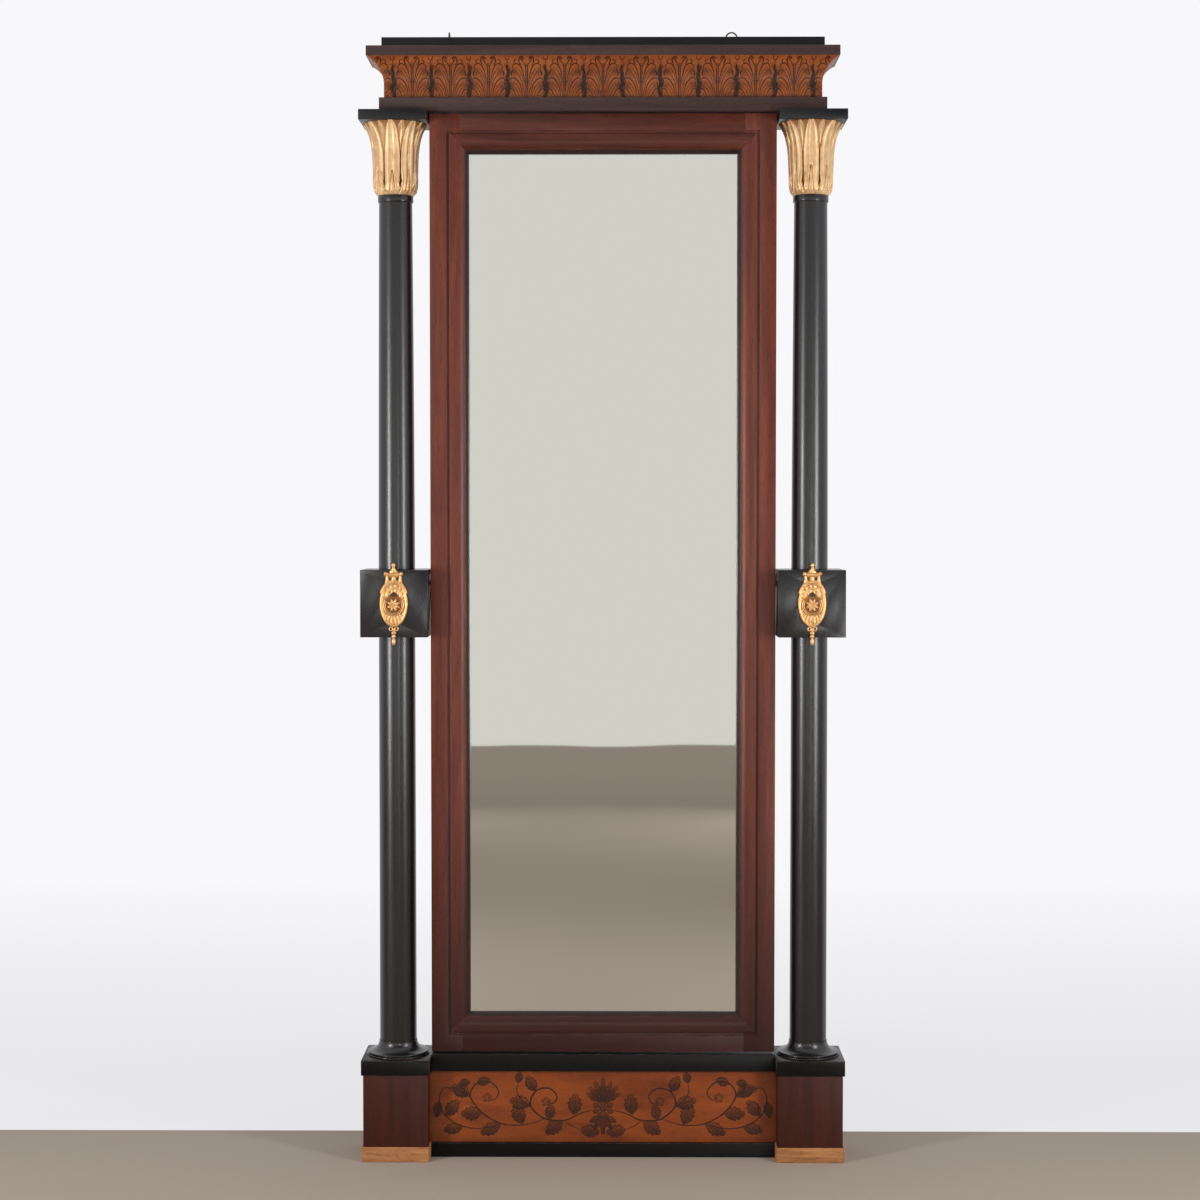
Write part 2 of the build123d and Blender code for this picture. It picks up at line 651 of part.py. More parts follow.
def pivots():
    screws = []
    for side, name in ((-1, "left"), (1, "right")):
        low, high = sorted((side * frame_half, side * (frame_half - pivot_plate_thickness)))
        plate = slab(low, high, -pivot_plate_width / 2, pivot_plate_width / 2,
                     pivot_z - pivot_plate_height / 2, pivot_z + pivot_plate_height / 2)
        pieces[f"frame_stile_{name}"] -= plate
        pin_end = block_inner + bush_length - pin_end_gap
        pin_length = pin_end - (frame_half - pivot_plate_thickness)
        pin_middle = side * (frame_half - pivot_plate_thickness + pin_length / 2)
        plate += Pos(pin_middle, 0, pivot_z) * Rot(0, 90, 0) * Cylinder(pin_radius, pin_length)
        for dz in (-pivot_screw_offset, pivot_screw_offset):
            fastener = screw((side * frame_half, 0, pivot_z + dz), (-side, 0, 0))
            plate -= fastener
            pieces[f"frame_stile_{name}"] -= fastener
            screws.append(fastener)
        pieces[f"pivot_plate_{name}"] = plate
    pieces["pivot_plate_screws"] = Compound(screws)


for side, name in ((-1, "left"), (1, "right")):
    plinth(side, name)
    column_base(side, name)
    shafts(side, name)
    column_block(side, name)
    capital(side, name)
    escutcheon(side, name)
pieces["escutcheon_pins"] = Compound([escutcheon_pin(point) for side in (-1, 1)
                                      for point in escutcheon_pin_points(side)])
base()
cornice()
frame_members()
sight_mouldings()
pivots()
glass_and_back()

os.makedirs("parts", exist_ok=True)
for name, piece in pieces.items():
    export_step(Pos(0, row_shift, 0) * piece, f"parts/{name}.step")
print(len(pieces), "pieces,", round(plate_top, 1), "mm tall, row shift", row_shift, "pivot", pivot_z)
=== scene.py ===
import functools
import math
import random

import bmesh
import bpy
import numpy as np
from mathutils import Matrix, Vector


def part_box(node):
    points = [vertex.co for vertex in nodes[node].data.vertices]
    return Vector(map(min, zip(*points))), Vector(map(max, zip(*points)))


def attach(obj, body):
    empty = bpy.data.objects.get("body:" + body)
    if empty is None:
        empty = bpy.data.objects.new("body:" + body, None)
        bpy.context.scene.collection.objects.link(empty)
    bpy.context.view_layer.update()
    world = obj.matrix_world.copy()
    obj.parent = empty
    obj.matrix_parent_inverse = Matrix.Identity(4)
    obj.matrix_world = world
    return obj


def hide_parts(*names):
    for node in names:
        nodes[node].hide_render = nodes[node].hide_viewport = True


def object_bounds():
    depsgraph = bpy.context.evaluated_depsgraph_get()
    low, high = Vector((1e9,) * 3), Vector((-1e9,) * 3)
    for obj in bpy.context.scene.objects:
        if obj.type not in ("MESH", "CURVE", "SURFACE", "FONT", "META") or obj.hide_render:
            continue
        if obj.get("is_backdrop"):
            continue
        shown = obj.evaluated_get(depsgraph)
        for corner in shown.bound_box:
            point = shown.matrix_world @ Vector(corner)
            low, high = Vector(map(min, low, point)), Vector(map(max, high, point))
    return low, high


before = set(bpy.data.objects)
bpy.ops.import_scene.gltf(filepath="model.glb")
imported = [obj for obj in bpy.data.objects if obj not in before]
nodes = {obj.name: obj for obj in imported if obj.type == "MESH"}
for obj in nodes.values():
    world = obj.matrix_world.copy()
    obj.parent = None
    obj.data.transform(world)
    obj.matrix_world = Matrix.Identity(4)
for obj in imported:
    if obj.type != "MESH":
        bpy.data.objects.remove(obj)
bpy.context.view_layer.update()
scene = bpy.context.scene
scene.view_settings.view_transform = "Standard"
mm = 0.001
sides = {"left": -1, "right": 1}


def linearColour(code):
    # sRGB hex to the linear colour that the sockets take
    channels = [int(code[i:i + 2], 16) / 255 for i in (1, 3, 5)]
    return [c / 12.92 if c <= 0.04045 else ((c + 0.055) / 1.055) ** 2.4 for c in channels] + [1.0]


def addNode(tree, kind, inputs=None, **settings):
    # An input takes a value, a hex colour, a socket, or a node, which gives its first output
    node = tree.nodes.new(kind)
    for name, value in settings.items():
        setattr(node, name, value)
    for name, value in (inputs or {}).items():
        if isinstance(value, bpy.types.Node):
            value = next(socket for socket in value.outputs if socket.enabled)
        if isinstance(value, bpy.types.NodeSocket):
            tree.links.new(value, node.inputs[name])
        else:
            isColour = isinstance(value, str) and value.startswith("#")
            node.inputs[name].default_value = linearColour(value) if isColour else value
    return node


# Camera, where the photographer stood: eye level a little over half the mirror's height
photoView = {"place": (0.0285, -4.7455, 1.3365), "tilt": 87.81, "turn": 0.42, "lens": 69.0, "sensor": 36.0}
camera = bpy.data.objects.new("photoCamera", bpy.data.cameras.new("photoCamera"))
scene.collection.objects.link(camera)
camera.location = photoView["place"]
camera.rotation_euler = (math.radians(photoView["tilt"]), 0, math.radians(photoView["turn"]))
camera.data.lens = photoView["lens"]
camera.data.sensor_width = photoView["sensor"]
camera.data.clip_end = 60
scene.camera = camera

# Two tall soft boxes beside the camera, each seen as a streak down the columns, and two weak window panes
# behind it that lighten what faces them squarely
softBoxes = {
    "leftSoftBox": {"place": (-2.5, -2.15, 1.2), "size": (0.42, 1.15), "watts": 50},
    "rightSoftBox": {"place": (1.95, -1.85, 1.2), "size": (0.38, 1.15), "watts": 31},
    "leftWindow": {"place": (-1.05, -5.6, 0.95), "size": (0.55, 0.7), "watts": 8},
    "rightWindow": {"place": (1.1, -5.6, 0.95), "size": (0.55, 0.7), "watts": 17},
}
for name, box in softBoxes.items():
    lamp = bpy.data.lights.new(name, "AREA")
    lamp.shape = "RECTANGLE"
    lamp.size, lamp.size_y = box["size"]
    lamp.energy = box["watts"]
    holder = bpy.data.objects.new(name, lamp)
    scene.collection.objects.link(holder)
    holder.location = box["place"]
    aim = Vector((0, 0, 1.2)) - holder.location
    holder.rotation_euler = aim.to_track_quat("-Z", "Y").to_euler()
    holder.visible_camera = False

# White room light all round, and the same white behind the object and in what mirrors it
room = {"seen": "#F8F7FA", "light": "#F6F5F4", "lightStrength": 0.46, "floor": "#B9ACA0", "wall": "#F4F3F5",
        "wallStart": 0.177, "wallGlow": 0.7, "fadeEnd": 3.5, "reach": 14.0, "frontGlow": 0.34,
        "frontSpan": (-3.0, -7.0), "backdrop": "#E2E2DC", "ceiling": "#6A6864", "ceilingSpan": (3.4, 5.4),
        "backdropPlace": -8.4, "backdropSize": (9.0, 9.0)}
world = bpy.data.worlds.new("whiteRoom")
world.use_nodes = True
scene.world = world


def seenRays(tree):
    # 1 for what the camera, metal and glass see, 0 for light that falls on surfaces
    path = addNode(tree, "ShaderNodeLightPath").outputs
    rays = addNode(tree, "ShaderNodeMath", {0: path["Is Camera Ray"], 1: path["Is Glossy Ray"]},
                   operation="ADD", use_clamp=True)
    return addNode(tree, "ShaderNodeMath", {0: rays, 1: path["Is Transmission Ray"]}, operation="ADD",
                   use_clamp=True)


tree = world.node_tree
tree.nodes.clear()
fill = addNode(tree, "ShaderNodeBackground", {"Color": room["light"], "Strength": room["lightStrength"]})
seen = addNode(tree, "ShaderNodeBackground", {"Color": room["seen"]})
both = addNode(tree, "ShaderNodeMixShader", {0: seenRays(tree), 1: fill, 2: seen})
addNode(tree, "ShaderNodeOutputWorld", {"Surface": both})


def stageSheet(name, corners):
    mesh = bpy.data.meshes.new(name)
    mesh.from_pydata(corners, [], [(0, 1, 2, 3)])
    sheet = bpy.data.objects.new(name, mesh)
    scene.collection.objects.link(sheet)
    material = bpy.data.materials.new(name + "Paint")
    material.use_nodes = True
    material.node_tree.nodes.clear()
    mesh.materials.append(material)
    sheet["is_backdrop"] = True
    place = addNode(material.node_tree, "ShaderNodeTexCoord").outputs["Object"]
    return sheet, material.node_tree, addNode(material.node_tree, "ShaderNodeSeparateXYZ", {0: place}).outputs


def paintSheet(tree, colour, glow):
    # A plain matt sheet that glows to the camera by a share, so that it stays pale and keeps the shadows
    share = addNode(tree, "ShaderNodeMath", {0: seenRays(tree), 1: glow}, operation="MULTIPLY")
    matt = addNode(tree, "ShaderNodeBsdfDiffuse", {"Color": colour})
    light = addNode(tree, "ShaderNodeEmission", {"Color": colour})
    surface = addNode(tree, "ShaderNodeMixShader", {0: share, 1: matt, 2: light})
    addNode(tree, "ShaderNodeOutputMaterial", {"Surface": surface})


# Floor: beige where the object stands, and behind it white, which fades into the white of the room
reach = room["reach"]
sheet, tree, axes = stageSheet("studioFloor", [(-reach, -reach, 0), (reach, -reach, 0), (reach, reach, 0),
                                               (-reach, reach, 0)])
behind = addNode(tree, "ShaderNodeMath", {0: axes[1], 1: room["wallStart"]}, operation="GREATER_THAN")
fade = addNode(tree, "ShaderNodeMapRange", {0: axes[1], 1: room["wallStart"], 2: room["fadeEnd"]})
colour = addNode(tree, "ShaderNodeMix", {0: fade, 6: room["wall"], 7: room["seen"]}, data_type="RGBA")
colour = addNode(tree, "ShaderNodeMix", {0: behind, 6: room["floor"], 7: colour}, data_type="RGBA")
glow = addNode(tree, "ShaderNodeMapRange", {0: fade, 3: room["wallGlow"], 4: 1.0})
glow = addNode(tree, "ShaderNodeMath", {0: behind, 1: glow}, operation="MULTIPLY")
near, far = room["frontSpan"]
front = addNode(tree, "ShaderNodeMapRange", {0: axes[1], 1: near, 2: far, 3: 0.0, 4: room["frontGlow"]})
paintSheet(tree, colour, addNode(tree, "ShaderNodeMath", {0: glow, 1: front}, operation="ADD"))
# Backdrop behind the camera, which only reflections see: a pale wall, darker above
across, tall = room["backdropSize"]
back = room["backdropPlace"]
sheet, tree, axes = stageSheet("studioBackdrop", [(across, back, 0), (-across, back, 0),
                                                  (-across, back, tall), (across, back, tall)])
low, high = room["ceilingSpan"]
fade = addNode(tree, "ShaderNodeMapRange", {0: axes[2], 1: low, 2: high})
colour = addNode(tree, "ShaderNodeMix", {0: fade, 6: room["backdrop"], 7: room["ceiling"]}, data_type="RGBA")
paintSheet(tree, colour, 1.0)
sheet.visible_camera = False
sheet.visible_diffuse = False
print("camera, lamps and stage are up")


def startMaterial(name):
    material = bpy.data.materials.new(name)
    material.use_nodes = True
    material.node_tree.nodes.clear()
    return material, material.node_tree, addNode(material.node_tree, "ShaderNodeTexCoord").outputs["Object"]


def endMaterial(tree, inputs):
    shader = addNode(tree, "ShaderNodeBsdfPrincipled", inputs)
    addNode(tree, "ShaderNodeOutputMaterial", {"Surface": shader})


def grainPattern(tree, place, axis, width, length, detail=3.0, distortion=0.0, shift=0.0):
    # Noise drawn out along the fibres. Width and length in millimetres
    size = [1000 / width] * 3
    if axis:
        size["XYZ".index(axis)] = 1000 / length
    stretched = addNode(tree, "ShaderNodeMapping", {"Vector": place, "Location": (shift, shift, shift),
                                                    "Scale": size})
    return addNode(tree, "ShaderNodeTexNoise", {"Vector": stretched, "Scale": 1.0, "Detail": detail,
                                                "Roughness": 0.6, "Distortion": distortion})


def wornEdges(tree, place, radius, patch):
    # Rounded arrises, and a mask of the places where hands and cloths have rubbed them
    rounded = addNode(tree, "ShaderNodeBevel", {"Radius": radius * mm}, samples=6)
    surface = addNode(tree, "ShaderNodeNewGeometry").outputs["Normal"]
    facing = addNode(tree, "ShaderNodeVectorMath", {0: rounded, 1: surface}, operation="DOT_PRODUCT")
    edge = addNode(tree, "ShaderNodeMapRange", {0: facing, 1: 0.995, 2: 0.9})
    cloud = grainPattern(tree, place, None, patch, patch, 4.0, 0.5, 3.1)
    patches = addNode(tree, "ShaderNodeMapRange", {0: cloud, 1: 0.42, 2: 0.62})
    mask = addNode(tree, "ShaderNodeMath", {0: edge, 1: patches}, operation="MULTIPLY", use_clamp=True)
    return rounded, mask


# Solid mahogany, French polished: red-brown with ribbon figure, fine dark pores, a satin shine from the
# shellac. Pores are a fifth of a millimetre wide in the real wood and are drawn wider, so that they show.
mahogany = {"light": "#8A4430", "body": "#672F23", "dark": "#42201A", "pore": "#2B110D", "wear": "#8A5238",
            "figure": (30, 420), "ribbon": (6, 170), "pores": (1.1, 16), "poreDepth": 0.05,
            "rough": (0.32, 0.45), "specular": 0.3, "edge": 1.0, "patch": 60, "lowShade": 0.95}
# Painted shade: the rails are a darker copy of the same timber, standing for the less light they take
shadedLevelMahogany = dict(mahogany, lowShade=0.78, light="#6E3426", body="#512519", dark="#351710")
# Painted shade: the plinth dies are the same timber in a darker copy, for the low light near the floor
shadedPlinthMahogany = dict(mahogany, light="#4E2017", body="#3F1B13", dark="#2C120D", pore="#1D0C08", lowShade=0.1)
# The slip round the glass is darker than the frame
slipWood = dict(mahogany, light="#3A2620", body="#2B1C17", dark="#1D120F", pore="#140C0A", lowShade=0.2)
# Cornice corona and fillet: mahogany stained nearly black-brown, dull
stainedMahogany = dict(mahogany, light="#54403C", body="#43302C", dark="#2A1B19", pore="#1C1211",
                       rough=(0.42, 0.55))
# Ebonised pearwood: black spirit stain under shellac, close grained, satin, brown where it is rubbed
ebonised = {"light": "#211F21", "body": "#181719", "dark": "#0E0D0E", "pore": "#080707", "wear": "#5E4332",
            "figure": (60, 300), "ribbon": (9, 120), "pores": (1.4, 12), "poreDepth": 0.03,
            "rough": (0.3, 0.42), "specular": 0.35, "edge": 1.2, "patch": 35, "lowShade": 0.8}
# The turned columns were burnished on the lathe, so they shine more
burnished = dict(ebonised, rough=(0.26, 0.32), specular=0.6)
# The base has been knocked by feet and brooms: duller, with the brown wood showing along its arrises
knocked = dict(ebonised, specular=0.2, edge=2.2, patch=24, wear="#6E4E3B")
# Honey-coloured birch veneer under varnish, the ground of the penwork
birch = {"light": "#AE6534", "body": "#984F26", "dark": "#753819", "pore": "#4E2410", "wear": "#A87045",
         "figure": (46, 150), "ribbon": (7, 90), "pores": (1.2, 9), "poreDepth": 0.02,
         "rough": (0.34, 0.45), "specular": 0.3, "edge": 0.6, "patch": 50, "lowShade": 0.0}
panelBirch = dict(birch, light="#9A4C1C", body="#823C15", dark="#5E280D")
# Bare wood of the feet, rasped and bruised, and the old unfinished pine of the backs
bareWood = {"light": "#CC9360", "body": "#AC7346", "dark": "#714529", "pore": "#54301C", "wear": "#CFA06E",
            "figure": (14, 120), "ribbon": (3, 60), "pores": (1.0, 10), "poreDepth": 0.25,
            "rough": (0.7, 0.85), "specular": 0.25, "edge": 1.2, "patch": 25, "lowShade": 0.0}
oldPine = dict(bareWood, light="#A98257", body="#8E6A45", dark="#66482E", pore="#4C3421", figure=(30, 500),
               ribbon=(8, 260), poreDepth=0.12)


def layShades(tree, colour, layers):
    # A layer says what it follows, over which span, its least and its most cover, and its colour
    for source, low, high, least, most, shade in layers:
        cover = addNode(tree, "ShaderNodeMapRange", {0: source, 1: low, 2: high, 3: least, 4: most})
        colour = addNode(tree, "ShaderNodeMix", {0: cover, 6: colour, 7: shade}, data_type="RGBA")
    return colour


def woodMaterial(name, wood, axis, wash=None):
    material, tree, place = startMaterial(name)
    figure = grainPattern(tree, place, axis, *wood["figure"], 4.0, 0.9, 1.7)
    ribbon = grainPattern(tree, place, axis, *wood["ribbon"], 3.0, 0.4, 5.3)
    pores = grainPattern(tree, place, axis, *wood["pores"], 2.0, 0.0, 9.1)
    layers = [(figure, 0.32, 0.68, 0.0, 1.0, wood["light"]), (ribbon, 0.3, 0.7, 0.15, 0.75, wood["body"]),
              (pores, 0.56, 0.72, 0.0, 0.7, wood["pore"])]
    if wash:
        # Diluted ink laid on with a brush between the pen strokes; on the base panel this layer also carries
        # painted shade
        density = addNode(tree, "ShaderNodeAttribute", attribute_name="wash").outputs["Fac"]
        cloud = grainPattern(tree, place, None, 5, 5, 3.0, 0.6, 2.2)
        uneven = addNode(tree, "ShaderNodeMapRange", {0: cloud, 1: 0.3, 2: 0.7, 3: 0.7, 4: 1.15})
        laid = addNode(tree, "ShaderNodeMath", {0: density, 1: uneven}, operation="MULTIPLY")
        layers.append((laid, 0.0, 1.0, 0.0, 1.0, wash))
    # Painted shade: the colour is taken down near the ground, for the light that falls off there and the dark
    # floor the polish reflects
    height = addNode(tree, "ShaderNodeSeparateXYZ", {0: place}).outputs[2]
    rounded, worn = wornEdges(tree, place, wood["edge"], wood["patch"])
    layers += [(height, 0.95, 0.22, 0.0, wood["lowShade"], wood["pore"]),
               (worn, 0.0, 1.0, 0.0, 1.0, wood["wear"])]
    sunk = addNode(tree, "ShaderNodeMapRange", {0: pores, 1: 0.5, 2: 0.75, 3: 1.0, 4: 0.0})
    relief = addNode(tree, "ShaderNodeBump", {"Strength": 0.6, "Distance": wood["poreDepth"] * mm,
                                              "Height": sunk, "Normal": rounded})
    low, high = wood["rough"]
    rough = addNode(tree, "ShaderNodeMapRange", {0: ribbon, 1: 0.3, 2: 0.7, 3: low, 4: high})
    endMaterial(tree, {"Base Color": layShades(tree, wood["dark"], layers), "Roughness": rough,
                       "Normal": relief, "Specular IOR Level": wood["specular"]})
    return material


def coatMaterial(name, coat):
    # A thin coat or skin of metal: cloudy shades, darker where it is cut in, partly toning and partly painted
    # shade, with a fine relief
    material, tree, place = startMaterial(name)
    follows = {key: grainPattern(tree, place, None, *coat[key]) for key in ("cloud", "fine")}
    follows["recess"] = addNode(tree, "ShaderNodeAttribute", attribute_name="recess").outputs["Fac"]
    colour = layShades(tree, coat["ground"], [(follows[key], *rest) for key, *rest in coat["layers"]])
    key, low, high, smooth, dull = coat["rough"]
    rough = addNode(tree, "ShaderNodeMapRange", {0: follows[key], 1: low, 2: high, 3: smooth, 4: dull})
    strength, depth = coat["relief"]
    relief = addNode(tree, "ShaderNodeBump", {"Strength": strength, "Distance": depth * mm,
                                              "Height": follows["fine"]})
    endMaterial(tree, {"Base Color": colour, "Roughness": rough, "Normal": relief,
                       "Metallic": coat["metallic"]})
    return material


materials = {key: woodMaterial(name, *cut) for key, (name, *cut) in {
    "mahoganyUpright": ("polishedMahoganyUpright", mahogany, "Z"),
    "shadedMahoganyLevel": ("polishedMahoganyLevelShaded", shadedLevelMahogany, "X"),
    "shadedPlinthMahogany": ("shadedMahoganyPlinth", shadedPlinthMahogany, "Z"),
    "stainedMahogany": ("stainedMahoganyCornice", stainedMahogany, "X"),
    "ebonisedLevel": ("ebonisedPearwoodLevel", ebonised, "X"),
    "ebonisedBase": ("knockedEbonisedPearwood", knocked, "X"),
    "ebonisedTurned": ("burnishedEbonisedPearwood", burnished, "Z"),
    "slipWood": ("stainedGlassSlip", slipWood, "Z"),
    "birchFrieze": ("varnishedBirchFrieze", birch, "X", "#22110B"),
    "birchReturn": ("varnishedBirchReturn", birch, "Y", "#22110B"),
    "birchPanel": ("varnishedBirchPanel", panelBirch, "X", "#2A140B"),
    "bareWood": ("bareFootWood", bareWood, "X"),
    "pineUpright": ("oldPineUpright", oldPine, "Z"),
    "pineLevel": ("oldPineLevel", oldPine, "X"),
}.items()}

# Water-gilt limewood: thin gold leaf over bole on gesso, burnished on the crests; the cuts are browned by
# their depth, partly bole and toning and partly painted shade
giltWood = {"cloud": (22, 22, 4.0, 0.5, 0.9), "fine": (2.2, 2.2, 3.0, 0.0, 7.7), "ground": "#D3A878",
            "layers": [("cloud", 0.35, 0.68, 0.0, 1.0, "#EDCB9C"), ("recess", 0.15, 0.7, 0.0, 1.0, "#99693F"),
                       ("recess", 0.65, 1.0, 0.0, 1.0, "#603A20"), ("fine", 0.62, 0.72, 0.0, 0.4, "#99693F")],
            "rough": ("cloud", 0.3, 0.7, 0.36, 0.52), "relief": (0.35, 0.3), "metallic": 0.55}
# Ormolu: cast and chased brass, mercury gilt, bright on the crests with a matt punched ground; where it lies
# low it is browned, partly toning and partly painted shade
giltBronze = {"cloud": (9, 9, 3.0, 0.4, 2.8), "fine": (0.8, 0.8, 2.0, 0.0, 4.4), "ground": "#D9A160",
              "layers": [("cloud", 0.35, 0.65, 0.0, 1.0, "#EBC08C"),
                         ("recess", 0.3, 1.0, 0.0, 1.0, "#7A4A22")],
              "rough": ("recess", 0.0, 1.0, 0.42, 0.58), "relief": (0.3, 0.12), "metallic": 0.85}
# Forged iron of the pivots and screws, and the steel wire of the eyes: dark, dull, rust-brown in patches
forgedIron = {"cloud": (7, 7, 4.0, 0.6, 1.2), "fine": (7, 7, 4.0, 0.6, 1.2), "ground": "#4A4643",
              "layers": [("cloud", 0.45, 0.65, 0.0, 1.0, "#5A3A28")], "rough": ("cloud", 0.4, 0.7, 0.35, 0.7),
              "relief": (0.4, 0.1), "metallic": 1.0}
steelWire = dict(forgedIron, ground="#6B6660", layers=[("cloud", 0.45, 0.65, 0.0, 1.0, "#5E4433")])
for key, name, coat in (("gilt", "waterGiltWood", giltWood), ("ormolu", "ormoluGiltBronze", giltBronze),
                        ("iron", "forgedIron", forgedIron), ("wire", "drawnSteelWire", steelWire)):
    materials[key] = coatMaterial(name, coat)

# Iron-gall ink of the penwork: brown-black, thin, with the varnish over it
penInk = {"thick": "#1E0F09", "thin": "#3A1F11", "rough": 0.45, "specular": 0.3}
materials["ink"], tree, place = startMaterial("penInk")
thin = grainPattern(tree, place, None, 3, 3, 2.0, 0.0, 0.4)
colour = layShades(tree, penInk["thick"], [(thin, 0.35, 0.7, 0.0, 1.0, penInk["thin"])])
endMaterial(tree, {"Base Color": colour, "Roughness": penInk["rough"],
                   "Specular IOR Level": penInk["specular"]})

# Old mirror plate: tin-mercury silvering behind faintly grey glass, a little wavy, foxed at the edge
mirrorPlate = {"silver": "#EAEAE6", "foxing": "#77736A", "edgeBand": 12, "covered": 16, "waveDepth": 0.12}
glassLow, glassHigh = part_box("mirror_glass")
materials["mirror"], tree, place = startMaterial("oldSilveredGlass")
middle = (0, 0, (glassLow.z + glassHigh.z) / 2)
away = addNode(tree, "ShaderNodeVectorMath", {0: place, 1: middle}, operation="SUBTRACT")
away = addNode(tree, "ShaderNodeVectorMath", {0: away}, operation="ABSOLUTE")
axes = addNode(tree, "ShaderNodeSeparateXYZ", {0: away}).outputs
near = []
for axis, half in ((0, glassHigh.x), (2, (glassHigh.z - glassLow.z) / 2)):
    edge = half - mirrorPlate["covered"] * mm
    start = edge - mirrorPlate["edgeBand"] * mm
    near.append(addNode(tree, "ShaderNodeMapRange", {0: axes[axis], 1: start, 2: edge}))
nearEdge = addNode(tree, "ShaderNodeMath", {0: near[0], 1: near[1]}, operation="MAXIMUM")
spots = grainPattern(tree, place, None, 9, 9, 5.0, 0.7, 6.1)
spots = addNode(tree, "ShaderNodeMapRange", {0: spots, 1: 0.42, 2: 0.62})
spotted = addNode(tree, "ShaderNodeMath", {0: nearEdge, 1: spots}, operation="MULTIPLY")
colour = layShades(tree, mirrorPlate["silver"], [(spotted, 0.0, 1.0, 0.0, 0.6, mirrorPlate["foxing"])])
rough = addNode(tree, "ShaderNodeMapRange", {0: spotted, 3: 0.015, 4: 0.3})
waves = grainPattern(tree, place, None, 170, 170, 1.0, 0.0, 8.0)
relief = addNode(tree, "ShaderNodeBump", {"Strength": 1.0, "Distance": mirrorPlate["waveDepth"] * mm,
                                          "Height": waves})
endMaterial(tree, {"Base Color": colour, "Roughness": rough, "Normal": relief, "Metallic": 1.0})
print("materials are mixed")


def startTree(name, sockets):
    tree = bpy.data.node_groups.new(name, "GeometryNodeTree")
    tree.interface.new_socket(name="Geometry", in_out="INPUT", socket_type="NodeSocketGeometry")
    for label, kind in sockets.items():
        tree.interface.new_socket(name=label, in_out="INPUT", socket_type="NodeSocket" + kind)
    tree.interface.new_socket(name="Geometry", in_out="OUTPUT", socket_type="NodeSocketGeometry")
    return tree, addNode(tree, "NodeGroupInput").outputs


def endTree(tree, geometry, material):
    real = addNode(tree, "GeometryNodeRealizeInstances", {0: geometry}).outputs[0]
    painted = addNode(tree, "GeometryNodeSetMaterial", {0: real, "Material": material}).outputs[0]
    addNode(tree, "NodeGroupOutput", {0: painted})


def growMesh(tree, mesh, values):
    # Runs a tree once on a mesh and gives the plain mesh that comes out
    carrier = bpy.data.objects.new("carrier", mesh)
    scene.collection.objects.link(carrier)
    modifier = carrier.modifiers.new(tree.name, "NODES")
    modifier.node_group = tree
    for item in tree.interface.items_tree:
        if item.in_out == "INPUT" and item.name in values:
            modifier[item.identifier] = values[item.name]
    bpy.context.view_layer.update()
    grown = bpy.data.meshes.new_from_object(carrier.evaluated_get(bpy.context.evaluated_depsgraph_get()))
    carrier.modifiers.remove(modifier)
    bpy.data.objects.remove(carrier)
    return grown


def closeMesh(mesh, merge=0.001):
    # Merges doubles, where there may be some, and turns all faces outwards
    shape = bmesh.new()
    shape.from_mesh(mesh)
    if merge:
        bmesh.ops.remove_doubles(shape, verts=shape.verts, dist=merge * mm)
    bmesh.ops.recalc_face_normals(shape, faces=shape.faces)
    shape.to_mesh(mesh)
    shape.free()


def meshOf(name, shape):
    mesh = bpy.data.meshes.new(name)
    shape.to_mesh(mesh)
    shape.free()
    return mesh


def skinRows(shape, rows, ring=False, capped=True):
    # Faces between neighbouring rows of as many corners each, with a lid on both ends
    for low, high in list(zip(rows, rows[1:])) + ([(rows[-1], rows[0])] if ring else []):
        for k in range(len(low)):
            j = (k + 1) % len(low)
            shape.faces.new((low[k], low[j], high[j], high[k]))
    if capped and not ring:
        shape.faces.new(rows[0][::-1])
        shape.faces.new(rows[-1])


def addLayer(mesh, name, values):
    # A value at each point, which the material reads
    layer = mesh.attributes.new(name, "FLOAT", "POINT")
    layer.data.foreach_set("value", np.array(values, dtype=np.float32))


def addPiece(name, mesh, material, body, replaced=(), crease=35):
    mesh.name = name
    if material:
        mesh.materials.clear()
        mesh.materials.append(materials[material])
    if crease:
        mesh.shade_smooth()
        mesh.set_sharp_from_angle(angle=math.radians(crease))
    piece = bpy.data.objects.new(name, mesh)
    scene.collection.objects.link(piece)
    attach(piece, body)
    if replaced:
        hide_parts(*replaced)
    return piece


def arcThrough(first, middle, last, count):
    # Points on the circle through three points, from the first to the last
    (ax, ay), (bx, by), (cx, cy) = first, middle, last
    d = 2 * (ax * (by - cy) + bx * (cy - ay) + cx * (ay - by))
    a2, b2, c2 = (x * x + y * y for x, y in (first, middle, last))
    ox = (a2 * (by - cy) + b2 * (cy - ay) + c2 * (ay - by)) / d
    oy = (a2 * (cx - bx) + b2 * (ax - cx) + c2 * (bx - ax)) / d
    start, bend, end = (math.atan2(y - oy, x - ox) for x, y in (first, middle, last))
    turn = (end - start) % (2 * math.pi)
    if (bend - start) % (2 * math.pi) > turn:
        turn -= 2 * math.pi
    radius = math.hypot(ax - ox, ay - oy)
    return [(ox + radius * math.cos(start + turn * i / count),
             oy + radius * math.sin(start + turn * i / count)) for i in range(count + 1)]


